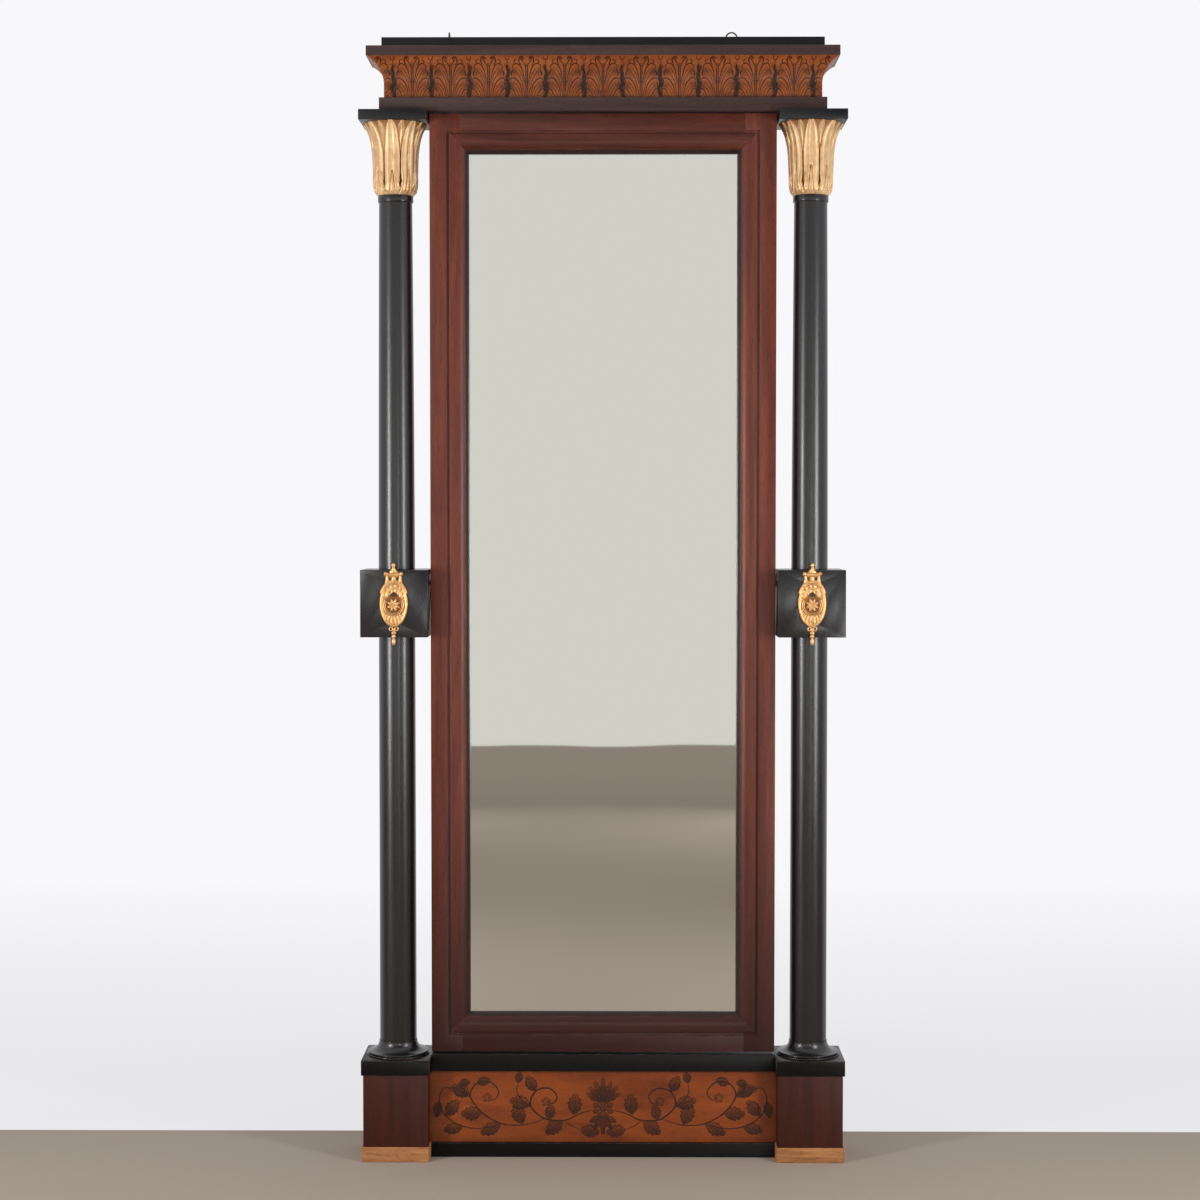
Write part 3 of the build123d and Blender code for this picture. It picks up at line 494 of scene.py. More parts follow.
# Turned work. The tree sweeps half a profile round the column's axis and closes it at the axis
turnery = {"facets": 112, "x": 426.0, "y": 3.5}
columnProfiles = {
    "column_base": [(0, 211), (64.5, 211), (65, 211.5), (65, 213.5), (64.4, 214), (58.5, 214), (58.5, 215.5)]
                   + arcThrough((61.25, 215.5), (63, 217.25), (61.25, 219), 10)
                   + [(61.25 - 22.05 * math.sin(a * math.pi / 48), 241 - 22 * math.cos(a * math.pi / 48))
                      for a in range(1, 25)] + [(0, 241)],
    "lower_shaft": [(0, 171.2), (15, 171.2), (15, 241), (37.6, 241), (38, 241.4), (37.98, 270), (37.75, 660),
                    (37.5, 1080.6), (37.1, 1081), (15, 1081), (15, 1120.8), (0, 1120.8)],
    "upper_shaft": [(0, 1178.7), (15, 1178.7), (15, 1218.5), (37.1, 1218.5)]
                   + arcThrough((37.5, 1218.9), (36.15, 1594.25), (34, 1970), 24)
                   + [(15, 1970), (15, 2140.8), (0, 2140.8)],
    "necking_ring": [(0, 1970)] + arcThrough((34.4, 1970), (35.7, 1970.7), (36.3, 1972.2), 5) + [(36.4, 1977)]
                    + arcThrough((36.3, 1981.8), (35.7, 1983.3), (34.4, 1984), 5) + [(0, 1984)],
}
tree, given = startTree("turnedWork", {"Facets": "Int", "Axis": "Vector", "Finish": "Material"})
profile = addNode(tree, "GeometryNodeMeshToCurve", {0: given["Geometry"]}).outputs[0]
circle = addNode(tree, "GeometryNodeCurvePrimitiveCircle", {"Resolution": given["Facets"], "Radius": 1.0})
upright = addNode(tree, "GeometryNodeSetCurveNormal", {0: circle.outputs[0]}, mode="Z_UP").outputs[0]
swept = addNode(tree, "GeometryNodeCurveToMesh", {0: upright, 1: profile}).outputs[0]
closed = addNode(tree, "GeometryNodeMergeByDistance", {0: swept, "Distance": 0.002 * mm}).outputs[0]
placed = addNode(tree, "GeometryNodeTransform", {0: closed, "Translation": given["Axis"]}).outputs[0]
endTree(tree, placed, given["Finish"])
for part, points in columnProfiles.items():
    outline = bpy.data.meshes.new(part + "Outline")
    # The circle has a radius of 1 m, so radii count from there, and heights run down the profile's Y
    outline.from_pydata([(r * mm - 1, -z * mm, 0) for r, z in points],
                        [(i, i + 1) for i in range(len(points) - 1)], [])
    for side, sign in sides.items():
        grown = growMesh(tree, outline, {"Facets": turnery["facets"], "Finish": materials["ebonisedTurned"],
                                         "Axis": (sign * turnery["x"] * mm, turnery["y"] * mm, 0)})
        closeMesh(grown)
        addPiece(f"turned_{part}_{side}", grown, None, "stand", [f"{part}_{side}"], 30)
print("columns are turned")


# Carved capitals: eight lancet leaves with a second row behind them, pierced eyelets where two leaves meet
# near the foot, and a small tongue up the middle of each leaf. Sizes in mm, heights as a share of 146 mm
carving = {
    "leaves": 8, "turn": -3.8, "around": 448, "rows": 132, "bottom": 1984.0, "height": 146.0,
    "crest": [(0.0, 37.5), (0.045, 42.5), (0.12, 45.0), (0.24, 46.0), (0.42, 46.9), (0.60, 48.2),
              (0.77, 52.0), (0.88, 57.0), (0.955, 62.5), (1.0, 66.5)],
    "leafHalf": [(0, 0.5), (0.56, 0.5), (0.64, 0.47), (0.8, 0.36), (0.917, 0.25), (1.0, 0.1)],
    "lobe": 2.5, "ridge": 1.3, "slit": 2.6, "eyelet": 8.0, "rim": 1.6, "behind": 2.5, "ground": 4.4,
}


def smoothStep(low, high, value):
    share = np.clip((value - low) / (high - low), 0, 1)
    return share * share * (3 - 2 * share)


def carvedDepth(angle, share, crest, leafShift):
    # How far the chisel has gone below the crest at an angle and a height share
    pitch = 2 * math.pi / carving["leaves"]
    turns = angle / pitch + 0.5
    leaf = np.floor(turns)
    across = turns - leaf - 0.5
    half = np.interp(share, *zip(*carving["leafHalf"]))
    off = np.abs(across)
    scale = pitch * crest
    rise = leafShift[leaf.astype(int) % carving["leaves"]]
    # Two rounded lobes, with a fine rib between them
    q = np.clip(off / half, 0, 1)
    main = carving["lobe"] * (1 - np.sin(math.pi * q) ** 0.75) + 1.6 * smoothStep(0.84, 1.0, q)
    rib = np.exp(-(off * scale / 1.2) ** 2) * smoothStep(0.36, 0.5, share) * (1 - smoothStep(0.9, 1.0, share))
    main -= carving["ridge"] * rib
    # The tongue, an upturned V between two cuts
    apex = 0.36 + rise
    wide = 6.4 * np.clip((apex - share) / apex, 0, 1) ** 0.8
    inside = smoothStep(-0.5, 0.5, wide - off * scale)
    present = smoothStep(0.0, 0.03, apex - share)
    main = main * (1 - inside * present) + (0.7 + 0.1 * off * scale) * inside * present
    cut = np.exp(-((off * scale - wide) / 0.9) ** 2) * present
    main += 2.2 * cut
    # The slit between two leaves and the eyelet at its foot
    gap = (0.5 - off) * scale
    slit = np.exp(-(gap / 0.7) ** 2) * smoothStep(0.28, 0.34, share) * (1 - smoothStep(0.56, 0.66, share))
    main += carving["slit"] * slit
    gapIndex = np.floor(angle / pitch)
    signed = np.where(across > 0, -gap, gap)
    hook = np.where(gapIndex % 2 == 0, -1.0, 1.0)
    curl = hook * (1.9 * smoothStep(0.19, 0.12, share) - 0.9 * smoothStep(0.24, 0.18, share))
    body = np.interp(share, [0.108, 0.125, 0.16, 0.2, 0.26, 0.31], [0.0, 1.35, 2.0, 1.6, 1.0, 0.0])
    hole = smoothStep(-0.35, 0.45, body - np.abs(signed - curl)) * (body > 0)
    main += carving["eyelet"] * hole
    # A raised U rim round the eyelet's foot
    low = np.clip((0.17 - share) / 0.095, 0, None)
    ring = np.abs(np.sqrt((signed / 5.0) ** 2 + low ** 2) - 1) * 5.0
    main -= carving["rim"] * np.exp(-(ring / 1.2) ** 2) * (1 - smoothStep(0.22, 0.34, share))
    # Behind the leaves: a second leaf with a middle ridge, and the ground in the last notches at the top
    gapHalf = np.maximum((0.5 - half) * scale, 0.01)
    second = carving["behind"] + 1.8 * np.clip(np.abs(gap) / gapHalf, 0, 1) - 0.8 * np.exp(-(gap / 0.9) ** 2)
    secondHalf = gapHalf * (1 - 0.86 * smoothStep(0.86, 1.0, share))
    notch = smoothStep(-0.4, 0.4, np.abs(gap) - secondHalf) * smoothStep(0.86, 0.9, share)
    second = second * (1 - notch) + carving["ground"] * notch
    over = smoothStep(-0.45, 0.45, (off - half) * scale) * smoothStep(0.58, 0.64, share)
    depth = main * (1 - over) + second * over
    return depth * smoothStep(0.0, 0.055, share) + 0.5 * (1 - smoothStep(0.0, 0.055, share))


crestPath = np.array(carving["crest"])
fineShare = np.linspace(0, 1, 200)
# A smooth curve through the crest's points
slopes = np.gradient(crestPath[:, 1], crestPath[:, 0])
spanIndex = np.clip(np.searchsorted(crestPath[:, 0], fineShare, "right") - 1, 0, len(crestPath) - 2)
spanWidth = crestPath[spanIndex + 1, 0] - crestPath[spanIndex, 0]
along = (fineShare - crestPath[spanIndex, 0]) / spanWidth
fineCrest = ((2 * along ** 3 - 3 * along ** 2 + 1) * crestPath[spanIndex, 1]
             + (along ** 3 - 2 * along ** 2 + along) * spanWidth * slopes[spanIndex]
             + (3 * along ** 2 - 2 * along ** 3) * crestPath[spanIndex + 1, 1]
             + (along ** 3 - along ** 2) * spanWidth * slopes[spanIndex + 1])
for side, sign in sides.items():
    dice = random.Random(11 if sign < 0 else 23)
    leafShift = np.array([dice.uniform(-0.08, 0.08) for _ in range(carving["leaves"])])
    around, rows = carving["around"], carving["rows"]
    last = (rows - 1) * around
    angles, shares = np.meshgrid(np.arange(around) * 2 * math.pi / around, np.linspace(0, 1, rows))
    crest = np.interp(shares, fineShare, fineCrest)
    depth = carvedDepth(angles, shares, crest, leafShift)
    radius = np.minimum(crest - depth, 66.5)
    world = angles - math.pi / 2 + math.radians(carving["turn"])
    points = np.stack([sign * turnery["x"] + radius * np.cos(world), turnery["y"] + radius * np.sin(world),
                       carving["bottom"] + shares * carving["height"]], axis=-1).reshape(-1, 3)
    ends = [(sign * turnery["x"], turnery["y"],
             carving["bottom"] + share * carving["height"]) for share in (0, 1)]
    faces = []
    for i in range(around):
        j = (i + 1) % around
        faces += [(row + i, row + j, row + around + j, row + around + i) for row in range(0, last, around)]
        faces += [(rows * around, j, i), (rows * around + 1, last + i, last + j)]
    mesh = bpy.data.meshes.new("capital")
    mesh.from_pydata([(x * mm, y * mm, z * mm) for x, y, z in [*points.tolist(), *ends]], [], faces)
    # The recess layer browns the deep cuts and eyelets: toning in the hollows, and painted shade
    addLayer(mesh, "recess", np.append(np.clip((depth.ravel() - 1.9) / 3.9, 0, 1), [0.3, 0.3]))
    addPiece(f"carved_capital_{side}", mesh, "gilt", "stand", [f"capital_{side}"], 70)
print("capitals are carved")


def softened(name, material, body, width=0.7, crease=40):
    # A CAD piece with its arrises eased by a scraper: a merged copy of its mesh, bevelled
    source = nodes[name]
    mesh = source.data.copy()
    mesh.transform(source.matrix_world)
    shape = bmesh.new()
    shape.from_mesh(mesh)
    bmesh.ops.remove_doubles(shape, verts=shape.verts, dist=0.001 * mm)
    bmesh.ops.dissolve_limit(shape, angle_limit=math.radians(0.5), verts=shape.verts, edges=shape.edges)
    bmesh.ops.recalc_face_normals(shape, faces=shape.faces)
    shape.to_mesh(mesh)
    shape.free()
    mesh.shade_smooth()
    carrier = bpy.data.objects.new("carrier", mesh)
    scene.collection.objects.link(carrier)
    bevel = carrier.modifiers.new("easedArrises", "BEVEL")
    bevel.width = width * mm
    bevel.segments = 2
    bevel.limit_method = "ANGLE"
    bevel.angle_limit = math.radians(crease)
    bevel.harden_normals = True
    bpy.context.view_layer.update()
    eased = bpy.data.meshes.new_from_object(carrier.evaluated_get(bpy.context.evaluated_depsgraph_get()))
    bpy.data.objects.remove(carrier)
    return addPiece(f"eased_{name}", eased, material, body, [name], None)


# Joinery that shows, with what it is finished in, the slot, the body and how far the arrises are eased
joinery = [
    ("foot_{}", "bareWood", "raw_foot", "stand", 1.2),
    ("plinth_{}", "shadedPlinthMahogany", "mahogany_plinth", "stand", 0.5),
    ("plinth_cap_{}", "ebonisedBase", "ebonised", "stand", 1.0),
    ("column_block_{}", "ebonisedTurned", "ebonised", "stand", 0.7),
    ("abacus_{}", "ebonisedLevel", "ebonised", "stand", 0.8),
    ("base_lower_rail", "ebonisedBase", "ebonised", "stand", 0.8),
    ("base_top_rail", "ebonisedBase", "ebonised", "stand", 0.8),
    ("base_back_panel", "pineLevel", "pine", "stand", 0.5),
    ("cornice_lower_fillet", "stainedMahogany", "cornice_dark", "stand", 0.8),
    ("cornice_corona", "stainedMahogany", "cornice_dark", "stand", 0.9),
    ("cornice_top_plate", "ebonisedLevel", "ebonised", "stand", 0.9),
    ("cornice_back_board", "pineLevel", "pine", "stand", 0.5),
    ("frame_stile_{}", "mahoganyUpright", "mahogany_frame", "mirror", 0.8),
    ("frame_rail_top", "shadedMahoganyLevel", "mahogany_frame", "mirror", 0.8),
    ("frame_rail_bottom", "shadedMahoganyLevel", "mahogany_frame", "mirror", 0.8),
    ("backboards", "pineUpright", "pine", "mirror", 0.6),
]
for pattern, material, slotName, body, width in joinery:
    for name in ([pattern.format(side) for side in sides] if "{}" in pattern else [pattern]):
        softened(name, material, body, width)
print("joinery is eased")


# Sight moulding and slip: one section run round the frame and cut into four at the mitres. Insets and depths
# in mm from the frame's outer edge and face
frameEdge = {"half": 354.5, "bottom": 220.0, "top": 2148.5, "face": 3.5 - 25}
sections = {
    "sight_moulding": [(39.5, 13), (39.5, 1.6)] + arcThrough((39.5, 1.5), (39.95, 0.45), (41.0, 0), 5)
                      + [(46, 0)] + arcThrough((52.5, 0), (62, 1.75), (71.5, 8), 18) + [(71.5, 13)],
    "glass_slip": [(64, 22), (64, 13), (71.5, 13), (71.5, 9)]
                  + arcThrough((71.7, 9.05), (76, 12.9), (79.3, 19.3), 8) + [(79.5, 19.6), (79.5, 22)],
}
for part, section in sections.items():
    for index, name in enumerate(("left", "right", "top", "bottom")):
        # The four slips are one piece, the four mouldings are four
        if part == "sight_moulding" or index == 0:
            shape = bmesh.new()
        ends = []
        for end in (0, 1):
            row = []
            for inset, depth in section:
                low, high = frameEdge["bottom"] + inset, frameEdge["top"] - inset
                half = frameEdge["half"] - inset
                x, z = {"left": (-half, (low, high)[end]), "right": (half, (low, high)[end]),
                        "top": ((-half, half)[end], high), "bottom": ((-half, half)[end], low)}[name]
                row.append(shape.verts.new((x * mm, (frameEdge["face"] + depth) * mm, z * mm)))
            ends.append(row)
        skinRows(shape, ends)
        if part == "sight_moulding":
            mesh = meshOf(part, shape)
            closeMesh(mesh)
            grain = "mahoganyUpright" if index < 2 else "shadedMahoganyLevel"
            addPiece(f"run_{part}_{name}", mesh, grain, "mirror", [f"{part}_{name}"], 30)
    if part == "glass_slip":
        mesh = meshOf(part, shape)
        closeMesh(mesh)
        addPiece("run_glass_slip", mesh, "slipWood", "mirror", [part], 30)
print("mouldings are run")


# Penwork. Strokes are drawn flat, in mm along and up the board, and Geometry Nodes repeat them and lay them
# over the board's face, which may bend outwards above its foot
penwork = {"pitch": 77.5, "foot": 27.0, "bend": 60.8, "height": 0.14, "wobble": 0.9, "surface": 91.4,
           "weight": 1.5}


def smoothStroke(points, steps=5):
    # Catmull-Rom through the points
    points = np.array(points, dtype=float)
    padded = np.vstack([2 * points[0] - points[1], points, 2 * points[-1] - points[-2]])
    out = []
    for i in range(len(points) - 1):
        p0, p1, p2, p3 = padded[i:i + 4]
        for t in np.linspace(0, 1, steps, endpoint=False):
            out.append(0.5 * (2 * p1 + (p2 - p0) * t + (2 * p0 - 5 * p1 + 4 * p2 - p3) * t ** 2
                              + (3 * p1 - p0 - 3 * p2 + p3) * t ** 3))
    return np.array(out + [points[-1]])


def strokeMesh(name, strokes):
    # Each stroke is a thin three-sided ribbon that swells in the middle and runs out at its ends
    corners, faces = [], []
    for points, width in strokes:
        line = np.array(points) if len(points) > 12 else smoothStroke(points)
        along = np.gradient(line, axis=0)
        length = np.linalg.norm(along, axis=1)
        line, along, length = line[length > 1e-6], along[length > 1e-6], length[length > 1e-6]
        if len(line) < 2:
            continue
        aside = np.stack([-along[:, 1], along[:, 0]], axis=1) / length[:, None]
        swell = 0.25 + 0.75 * np.sin(np.linspace(0.06, math.pi - 0.06, len(line))) ** 0.6
        half = width / 2 * swell * penwork["weight"]
        start = len(corners)
        for point, side, wide in zip(line, aside, half):
            for across, height in ((-1, -0.05), (0, penwork["height"]), (1, -0.05)):
                corners.append(((point[0] + side[0] * wide * across) * mm,
                                (point[1] + side[1] * wide * across) * mm, height * mm))
        for i in range(len(line) - 1):
            a, b = start + 3 * i, start + 3 * i + 3
            for k in range(3):
                faces.append((a + k, a + (k + 1) % 3, b + (k + 1) % 3, b + k))
        last = start + 3 * (len(line) - 1)
        faces.append((start, start + 2, start + 1))
        faces.append((last, last + 1, last + 2))
    mesh = bpy.data.meshes.new(name)
    mesh.from_pydata(corners, [], faces)
    return mesh


# The tree: copies along the board, a slight tremble of the hand, then the wrap over foot and cove
tree, given = startTree("penStrokes", {"Count": "Int", "Start": "Vector", "Step": "Vector", "Foot": "Float",
                                       "Bend": "Float", "Tremble": "Float", "Origin": "Vector",
                                       "Along": "Vector", "Outward": "Vector", "Finish": "Material"})
line = addNode(tree, "GeometryNodeMeshLine", {"Count": given["Count"], "Start Location": given["Start"],
                                              "Offset": given["Step"]})
copies = addNode(tree, "GeometryNodeInstanceOnPoints", {"Points": line, "Instance": given["Geometry"]})
flat = addNode(tree, "GeometryNodeRealizeInstances", {0: copies})
spot = addNode(tree, "GeometryNodeInputPosition")
noise = addNode(tree, "ShaderNodeTexNoise", {"Vector": spot, "Scale": 32.0, "Detail": 2.0}).outputs["Color"]
centred = addNode(tree, "ShaderNodeVectorMath", {0: noise, 1: (0.5, 0.5, 0.5)}, operation="SUBTRACT")
flatten = addNode(tree, "ShaderNodeVectorMath", {0: centred, 1: (1, 1, 0)}, operation="MULTIPLY")
drift = addNode(tree, "ShaderNodeVectorMath", {0: flatten, "Scale": given["Tremble"]}, operation="SCALE")
shaky = addNode(tree, "ShaderNodeVectorMath", {0: spot, 1: drift}, operation="ADD")
parts = addNode(tree, "ShaderNodeSeparateXYZ", {0: shaky}).outputs
sums = {"x": parts[0], "y": parts[1], "z": parts[2], "Foot": given["Foot"], "Bend": given["Bend"]}
# Outward is bend - inner x cosine, and up is low + inner x sine
for name, operation, *terms in (
        ("over", "SUBTRACT", "y", "Foot"), ("beyond", "MAXIMUM", "over", 0.0),
        ("low", "MINIMUM", "y", "Foot"), ("angle", "DIVIDE", "beyond", "Bend"),
        ("cosine", "COSINE", "angle"), ("sine", "SINE", "angle"), ("inner", "SUBTRACT", "Bend", "z"),
        ("level", "MULTIPLY", "inner", "cosine"), ("outward", "SUBTRACT", "Bend", "level"),
        ("up", "MULTIPLY_ADD", "inner", "sine", "low")):
    sums[name] = addNode(tree, "ShaderNodeMath", {i: sums.get(term, term) for i, term in enumerate(terms)},
                         operation=operation)
place = addNode(tree, "ShaderNodeCombineXYZ", {2: sums["up"]})
for direction, amount in (("Along", "x"), ("Outward", "outward")):
    part = addNode(tree, "ShaderNodeVectorMath", {0: given[direction], "Scale": sums[amount]},
                   operation="SCALE")
    place = addNode(tree, "ShaderNodeVectorMath", {0: place, 1: part}, operation="ADD")
place = addNode(tree, "ShaderNodeVectorMath", {0: place, 1: given["Origin"]}, operation="ADD")
laid = addNode(tree, "GeometryNodeSetPosition", {"Geometry": flat, "Position": place})
endTree(tree, laid, given["Finish"])
penTree = tree


def layStrokes(strokes, count, start, origin, along, outward, foot=penwork["foot"]):
    return growMesh(penTree, strokeMesh("strokes", strokes), {
        "Count": count, "Start": (start * mm, 0, 0), "Step": (penwork["pitch"] * mm, 0, 0), "Foot": foot * mm,
        "Bend": penwork["bend"] * mm, "Tremble": penwork["wobble"] * mm * 2,
        "Origin": [c * mm for c in origin], "Along": along, "Outward": outward, "Finish": materials["ink"]})


def joinMeshes(name, meshes):
    shape = bmesh.new()
    for mesh in meshes:
        shape.from_mesh(mesh)
    bmesh.ops.recalc_face_normals(shape, faces=shape.faces)
    return meshOf(name, shape)


# One acanthus leaf of the frieze, right half: strokes as points and widths
halfLeaf = [
    ([(2, 0), (1.6, 30), (1.6, 60), (1.2, 72)], 1.5), ([(2, 62), (4, 68), (8, 76), (12, 84), (13, 88)], 1.7),
    ([(13, 86), (15, 80), (14, 72), (11, 66)], 2.2), ([(5, 80), (8, 85), (12, 89)], 2.6),
    ([(3, 30), (6, 44), (9, 56), (14, 66), (20, 70), (26, 68), (29, 62), (27, 58)], 2.0),
    ([(4, 26), (8, 40), (13, 52), (19, 60)], 1.1), ([(6, 24), (12, 38), (19, 50), (24, 57)], 1.1),
    ([(8, 4), (11, 20), (15, 30), (22, 38), (29, 40), (33, 37), (31, 33)], 2.0),
    ([(10, 4), (15, 18), (21, 27), (27, 33)], 1.1), ([(4, 2), (6, 14), (10, 30)], 1.2),
    ([(20, 0), (24, 10), (29, 17), (34, 18), (36, 14)], 1.7), ([(14, 0), (18, 12), (25, 22)], 1.0),
    ([(25, 0), (28, 7), (33, 12)], 1.0), ([(22, 68), (25, 74), (23, 79), (18, 80)], 1.8),
    ([(27, 58), (31, 50), (30, 44)], 2.4), ([(31, 33), (34, 26), (33, 20)], 2.2),
]
# The dark ground that winds between two leaves, and the tip of the leaf behind
gapStrokes = [
    ([(38, 0), (40, 10), (37, 20), (41, 30), (37, 40), (40, 50), (37.5, 60), (39, 68)], 4.6),
    ([(36, 4), (35, 14), (38, 24), (36, 36), (38, 46)], 2.2),
    ([(42, 4), (43, 16), (40, 26), (42, 40), (40, 52)], 2.2),
    ([(34, 90), (35, 82), (38.75, 78), (42.5, 82), (43, 90)], 1.9), ([(38.75, 70), (38.75, 77)], 1.3),
]
leafStrokes = halfLeaf + [([(-x, y) for x, y in points], width) for points, width in halfLeaf] + gapStrokes


def bendOut(v):
    # How far the board stands out at a distance up its face, and how high that is
    beyond = np.maximum(v - penwork["foot"], 0) / penwork["bend"]
    return (penwork["bend"] * (1 - np.cos(beyond)),
            np.minimum(v, penwork["foot"]) + penwork["bend"] * np.sin(beyond))


def friezeWash(u, v):
    # Share of diluted ink at a place on the frieze
    within = np.abs((u + penwork["pitch"] / 2) % penwork["pitch"] - penwork["pitch"] / 2)
    gapIndex = np.floor(u / penwork["pitch"])
    fromGap = u - (gapIndex + 0.5) * penwork["pitch"] - 2.6 * np.sin(v / 5.2 + 0.6 + gapIndex)
    gap = 0.85 * smoothStep(6.5, 1.5, np.abs(fromGap)) * smoothStep(76, 60, v)
    upper = 0.6 * np.exp(-((within - 25) / 6) ** 2 - ((v - 52) / 9) ** 2)
    middle = 0.6 * np.exp(-((within - 29) / 6) ** 2 - ((v - 24) / 8) ** 2)
    tips = 0.4 * np.exp(-((within - 9) / 5) ** 2 - ((v - 84) / 6) ** 2)
    spine = 0.3 * np.exp(-(within / 3.2) ** 2) * smoothStep(70, 20, v)
    foot = 0.25 * smoothStep(12, 0, v)
    return np.clip(gap + upper + middle + tips + spine + foot, 0, 0.92)


def friezeBoard(name, key, columns, firstHalf, lastHalf, origin, along, outward, thick, replaced):
    # A coved board whose ends are mitred where the half length grows with the cove. Insides stay flat
    heights = np.linspace(0, penwork["surface"], 48)
    out, up = bendOut(heights)
    along, outward, origin = (np.array(a, dtype=float) for a in (along, outward, origin))
    front, back = [], []
    for o, z in zip(out, up):
        first, last = firstHalf(o), lastHalf(o)
        front.append([origin + along * (first + (last - first) * f) + outward * o + (0, 0, z)
                      for f in np.linspace(0, 1, columns)])
    for z in (up[0], up[-1]):
        first, last = firstHalf(-thick), lastHalf(-thick)
        back.append([origin + along * (first + (last - first) * f) - outward * thick + (0, 0, z)
                     for f in np.linspace(0, 1, columns)])
    rows = len(front)
    points = [p * mm for row in front + back for p in row]
    at = lambda row, column: row * columns + column
    faces = [(at(r, c), at(r, c + 1), at(r + 1, c + 1), at(r + 1, c)) for r in range(rows - 1)
             for c in range(columns - 1)]
    for c in range(columns - 1):
        faces.append((at(rows, c), at(rows + 1, c), at(rows + 1, c + 1), at(rows, c + 1)))
        faces.append((at(0, c), at(rows, c), at(rows, c + 1), at(0, c + 1)))
        faces.append((at(rows - 1, c), at(rows - 1, c + 1), at(rows + 1, c + 1), at(rows + 1, c)))
    for c in (0, columns - 1):
        faces.append([at(r, c) for r in range(rows)] + [at(rows + 1, c), at(rows, c)])
    mesh = bpy.data.meshes.new(name)
    mesh.from_pydata(points, [], faces)
    wash = [friezeWash(np.array([np.dot(p - origin, along) for p in row]), np.full(columns, v))
            for row, v in zip(front, heights)]
    addLayer(mesh, "wash", np.append(np.concatenate(wash), np.zeros(2 * columns)))
    closeMesh(mesh, None)
    addPiece(name, mesh, key, "stand", [replaced], 30)


def clipped(strokes, shift, keep):
    # Strokes moved along the board and cut off where they leave it
    out = []
    for points, width in strokes:
        line = smoothStroke([(x + shift, y) for x, y in points], 6)
        run = []
        for point in [*line, None]:
            if point is not None and keep(point[0], point[1]):
                run.append(point)
            else:
                if len(run) > 3:
                    out.append((np.array(run), width))
                run = []
    return out


friezeFrame = {"half": 445.5, "front": 35.0, "back": 63.5, "bottom": 2178.0, "wall": 20.0, "margin": 1.2}
half, bottom, wall = friezeFrame["half"], friezeFrame["bottom"], friezeFrame["wall"]
depth = friezeFrame["back"] + friezeFrame["front"]
face = ((0, -friezeFrame["front"], bottom), (1, 0, 0), (0, -1, 0))
friezeBoard("coved_frieze_front", "birchFrieze", 480, lambda o: -half - o, lambda o: half + o, *face, wall,
            "cornice_frieze_front")
ends = [stroke for k in (-6, 6) for stroke in clipped(
    leafStrokes, k * penwork["pitch"],
    lambda u, v: abs(u) < half + float(bendOut(np.array([v]))[0][0]) - friezeFrame["margin"])]
grown = [layStrokes(leafStrokes, 11, -5 * penwork["pitch"], *face), layStrokes(ends, 1, 0, *face)]
addPiece("frieze_penwork_front", joinMeshes("friezePenwork", grown), "ink", "stand", (), 50)
for name, sign in sides.items():
    # Along runs from front to back, and the leaves keep clear of the mitre
    face = ((sign * half, -friezeFrame["front"], bottom), (0, 1, 0), (sign, 0, 0))
    friezeBoard(f"coved_frieze_return_{name}", "birchReturn", 60, lambda o: -o, lambda o: depth, *face, wall,
                f"cornice_return_{name}")
    strokes = [stroke for k in (-0.5, 0.5, 1.5) for stroke in clipped(
        leafStrokes, (k + 0.13) * penwork["pitch"],
        lambda u, v: -float(bendOut(np.array([v]))[0][0]) + friezeFrame["margin"] < u < depth - 1)]
    mesh = joinMeshes("friezePenwork", [layStrokes(strokes, 1, 0, *face)])
    addPiece(f"frieze_penwork_{name}", mesh, "ink", "stand", (), 50)
print("frieze is drawn")


# Base panel: a symmetrical scroll of leaves round a rosette. Points in mm from the panel's middle foot
panelDrawing = {"half": 359.0, "tall": 148.5, "front": -20.5, "bottom": 31.0, "columns": 400, "rows": 84}
stems = [
    ([(18, 66), (45, 60), (80, 45), (120, 48), (150, 75), (140, 105), (112, 112), (95, 95), (104, 80),
      (118, 84)], 2.2),
    ([(120, 48), (165, 35), (210, 38), (250, 60), (275, 95), (262, 122), (232, 124), (216, 104), (226, 88),
      (240, 92)], 2.0),
    ([(210, 38), (250, 28), (290, 32), (325, 52), (340, 85), (330, 112), (312, 110)], 1.8),
    ([(150, 72), (165, 84), (178, 104), (176, 124)], 1.4), ([(80, 45), (66, 34), (48, 26)], 1.4),
    ([(275, 92), (290, 104), (298, 124)], 1.3),
]
# Leaves as foot, direction in degrees, length and half width
leaves = [
    (48, 26, 190, 34, 10), (84, 44, -38, 36, 11), (150, 76, 15, 36, 11), (166, 36, 68, 38, 11),
    (140, 105, 62, 30, 9), (176, 122, 100, 20, 6), (212, 38, -28, 38, 10), (250, 60, -2, 36, 11),
    (276, 96, 30, 34, 10), (262, 122, 165, 24, 7), (290, 32, -12, 34, 9), (326, 54, 130, 34, 10),
    (340, 86, -80, 30, 7), (60, 56, 95, 36, 11), (112, 46, 100, 26, 8), (312, 110, 200, 26, 8),
    (298, 122, 175, 18, 6),
]


def leafOutline(foot, turn, length, wide, teeth=5):
    # A serrated leaf outline: both sides, tip in the middle
    edge = []
    for i in range(2 * teeth + 1):
        t = i / (2 * teeth)
        swell = wide * math.sin(math.pi * min(t * 1.02, 1)) ** 0.75 * (1.12 if i % 2 else 0.86)
        edge.append((length * (t + (0.05 if i % 2 else 0)), swell * (1 - 0.15 * t)))
    c, s = math.cos(math.radians(turn)), math.sin(math.radians(turn))
    return [[(foot[0] + x * c - y * s * way, foot[1] + x * s + y * c * way) for x, y in edge]
            for way in (1, -1)]


def midrib(foot, turn, length, end, width):
    c, s = math.cos(math.radians(turn)), math.sin(math.radians(turn))
    return [(foot[0] + share * length * c, foot[1] + share * length * s) for share in (0, 0.5, end)], width


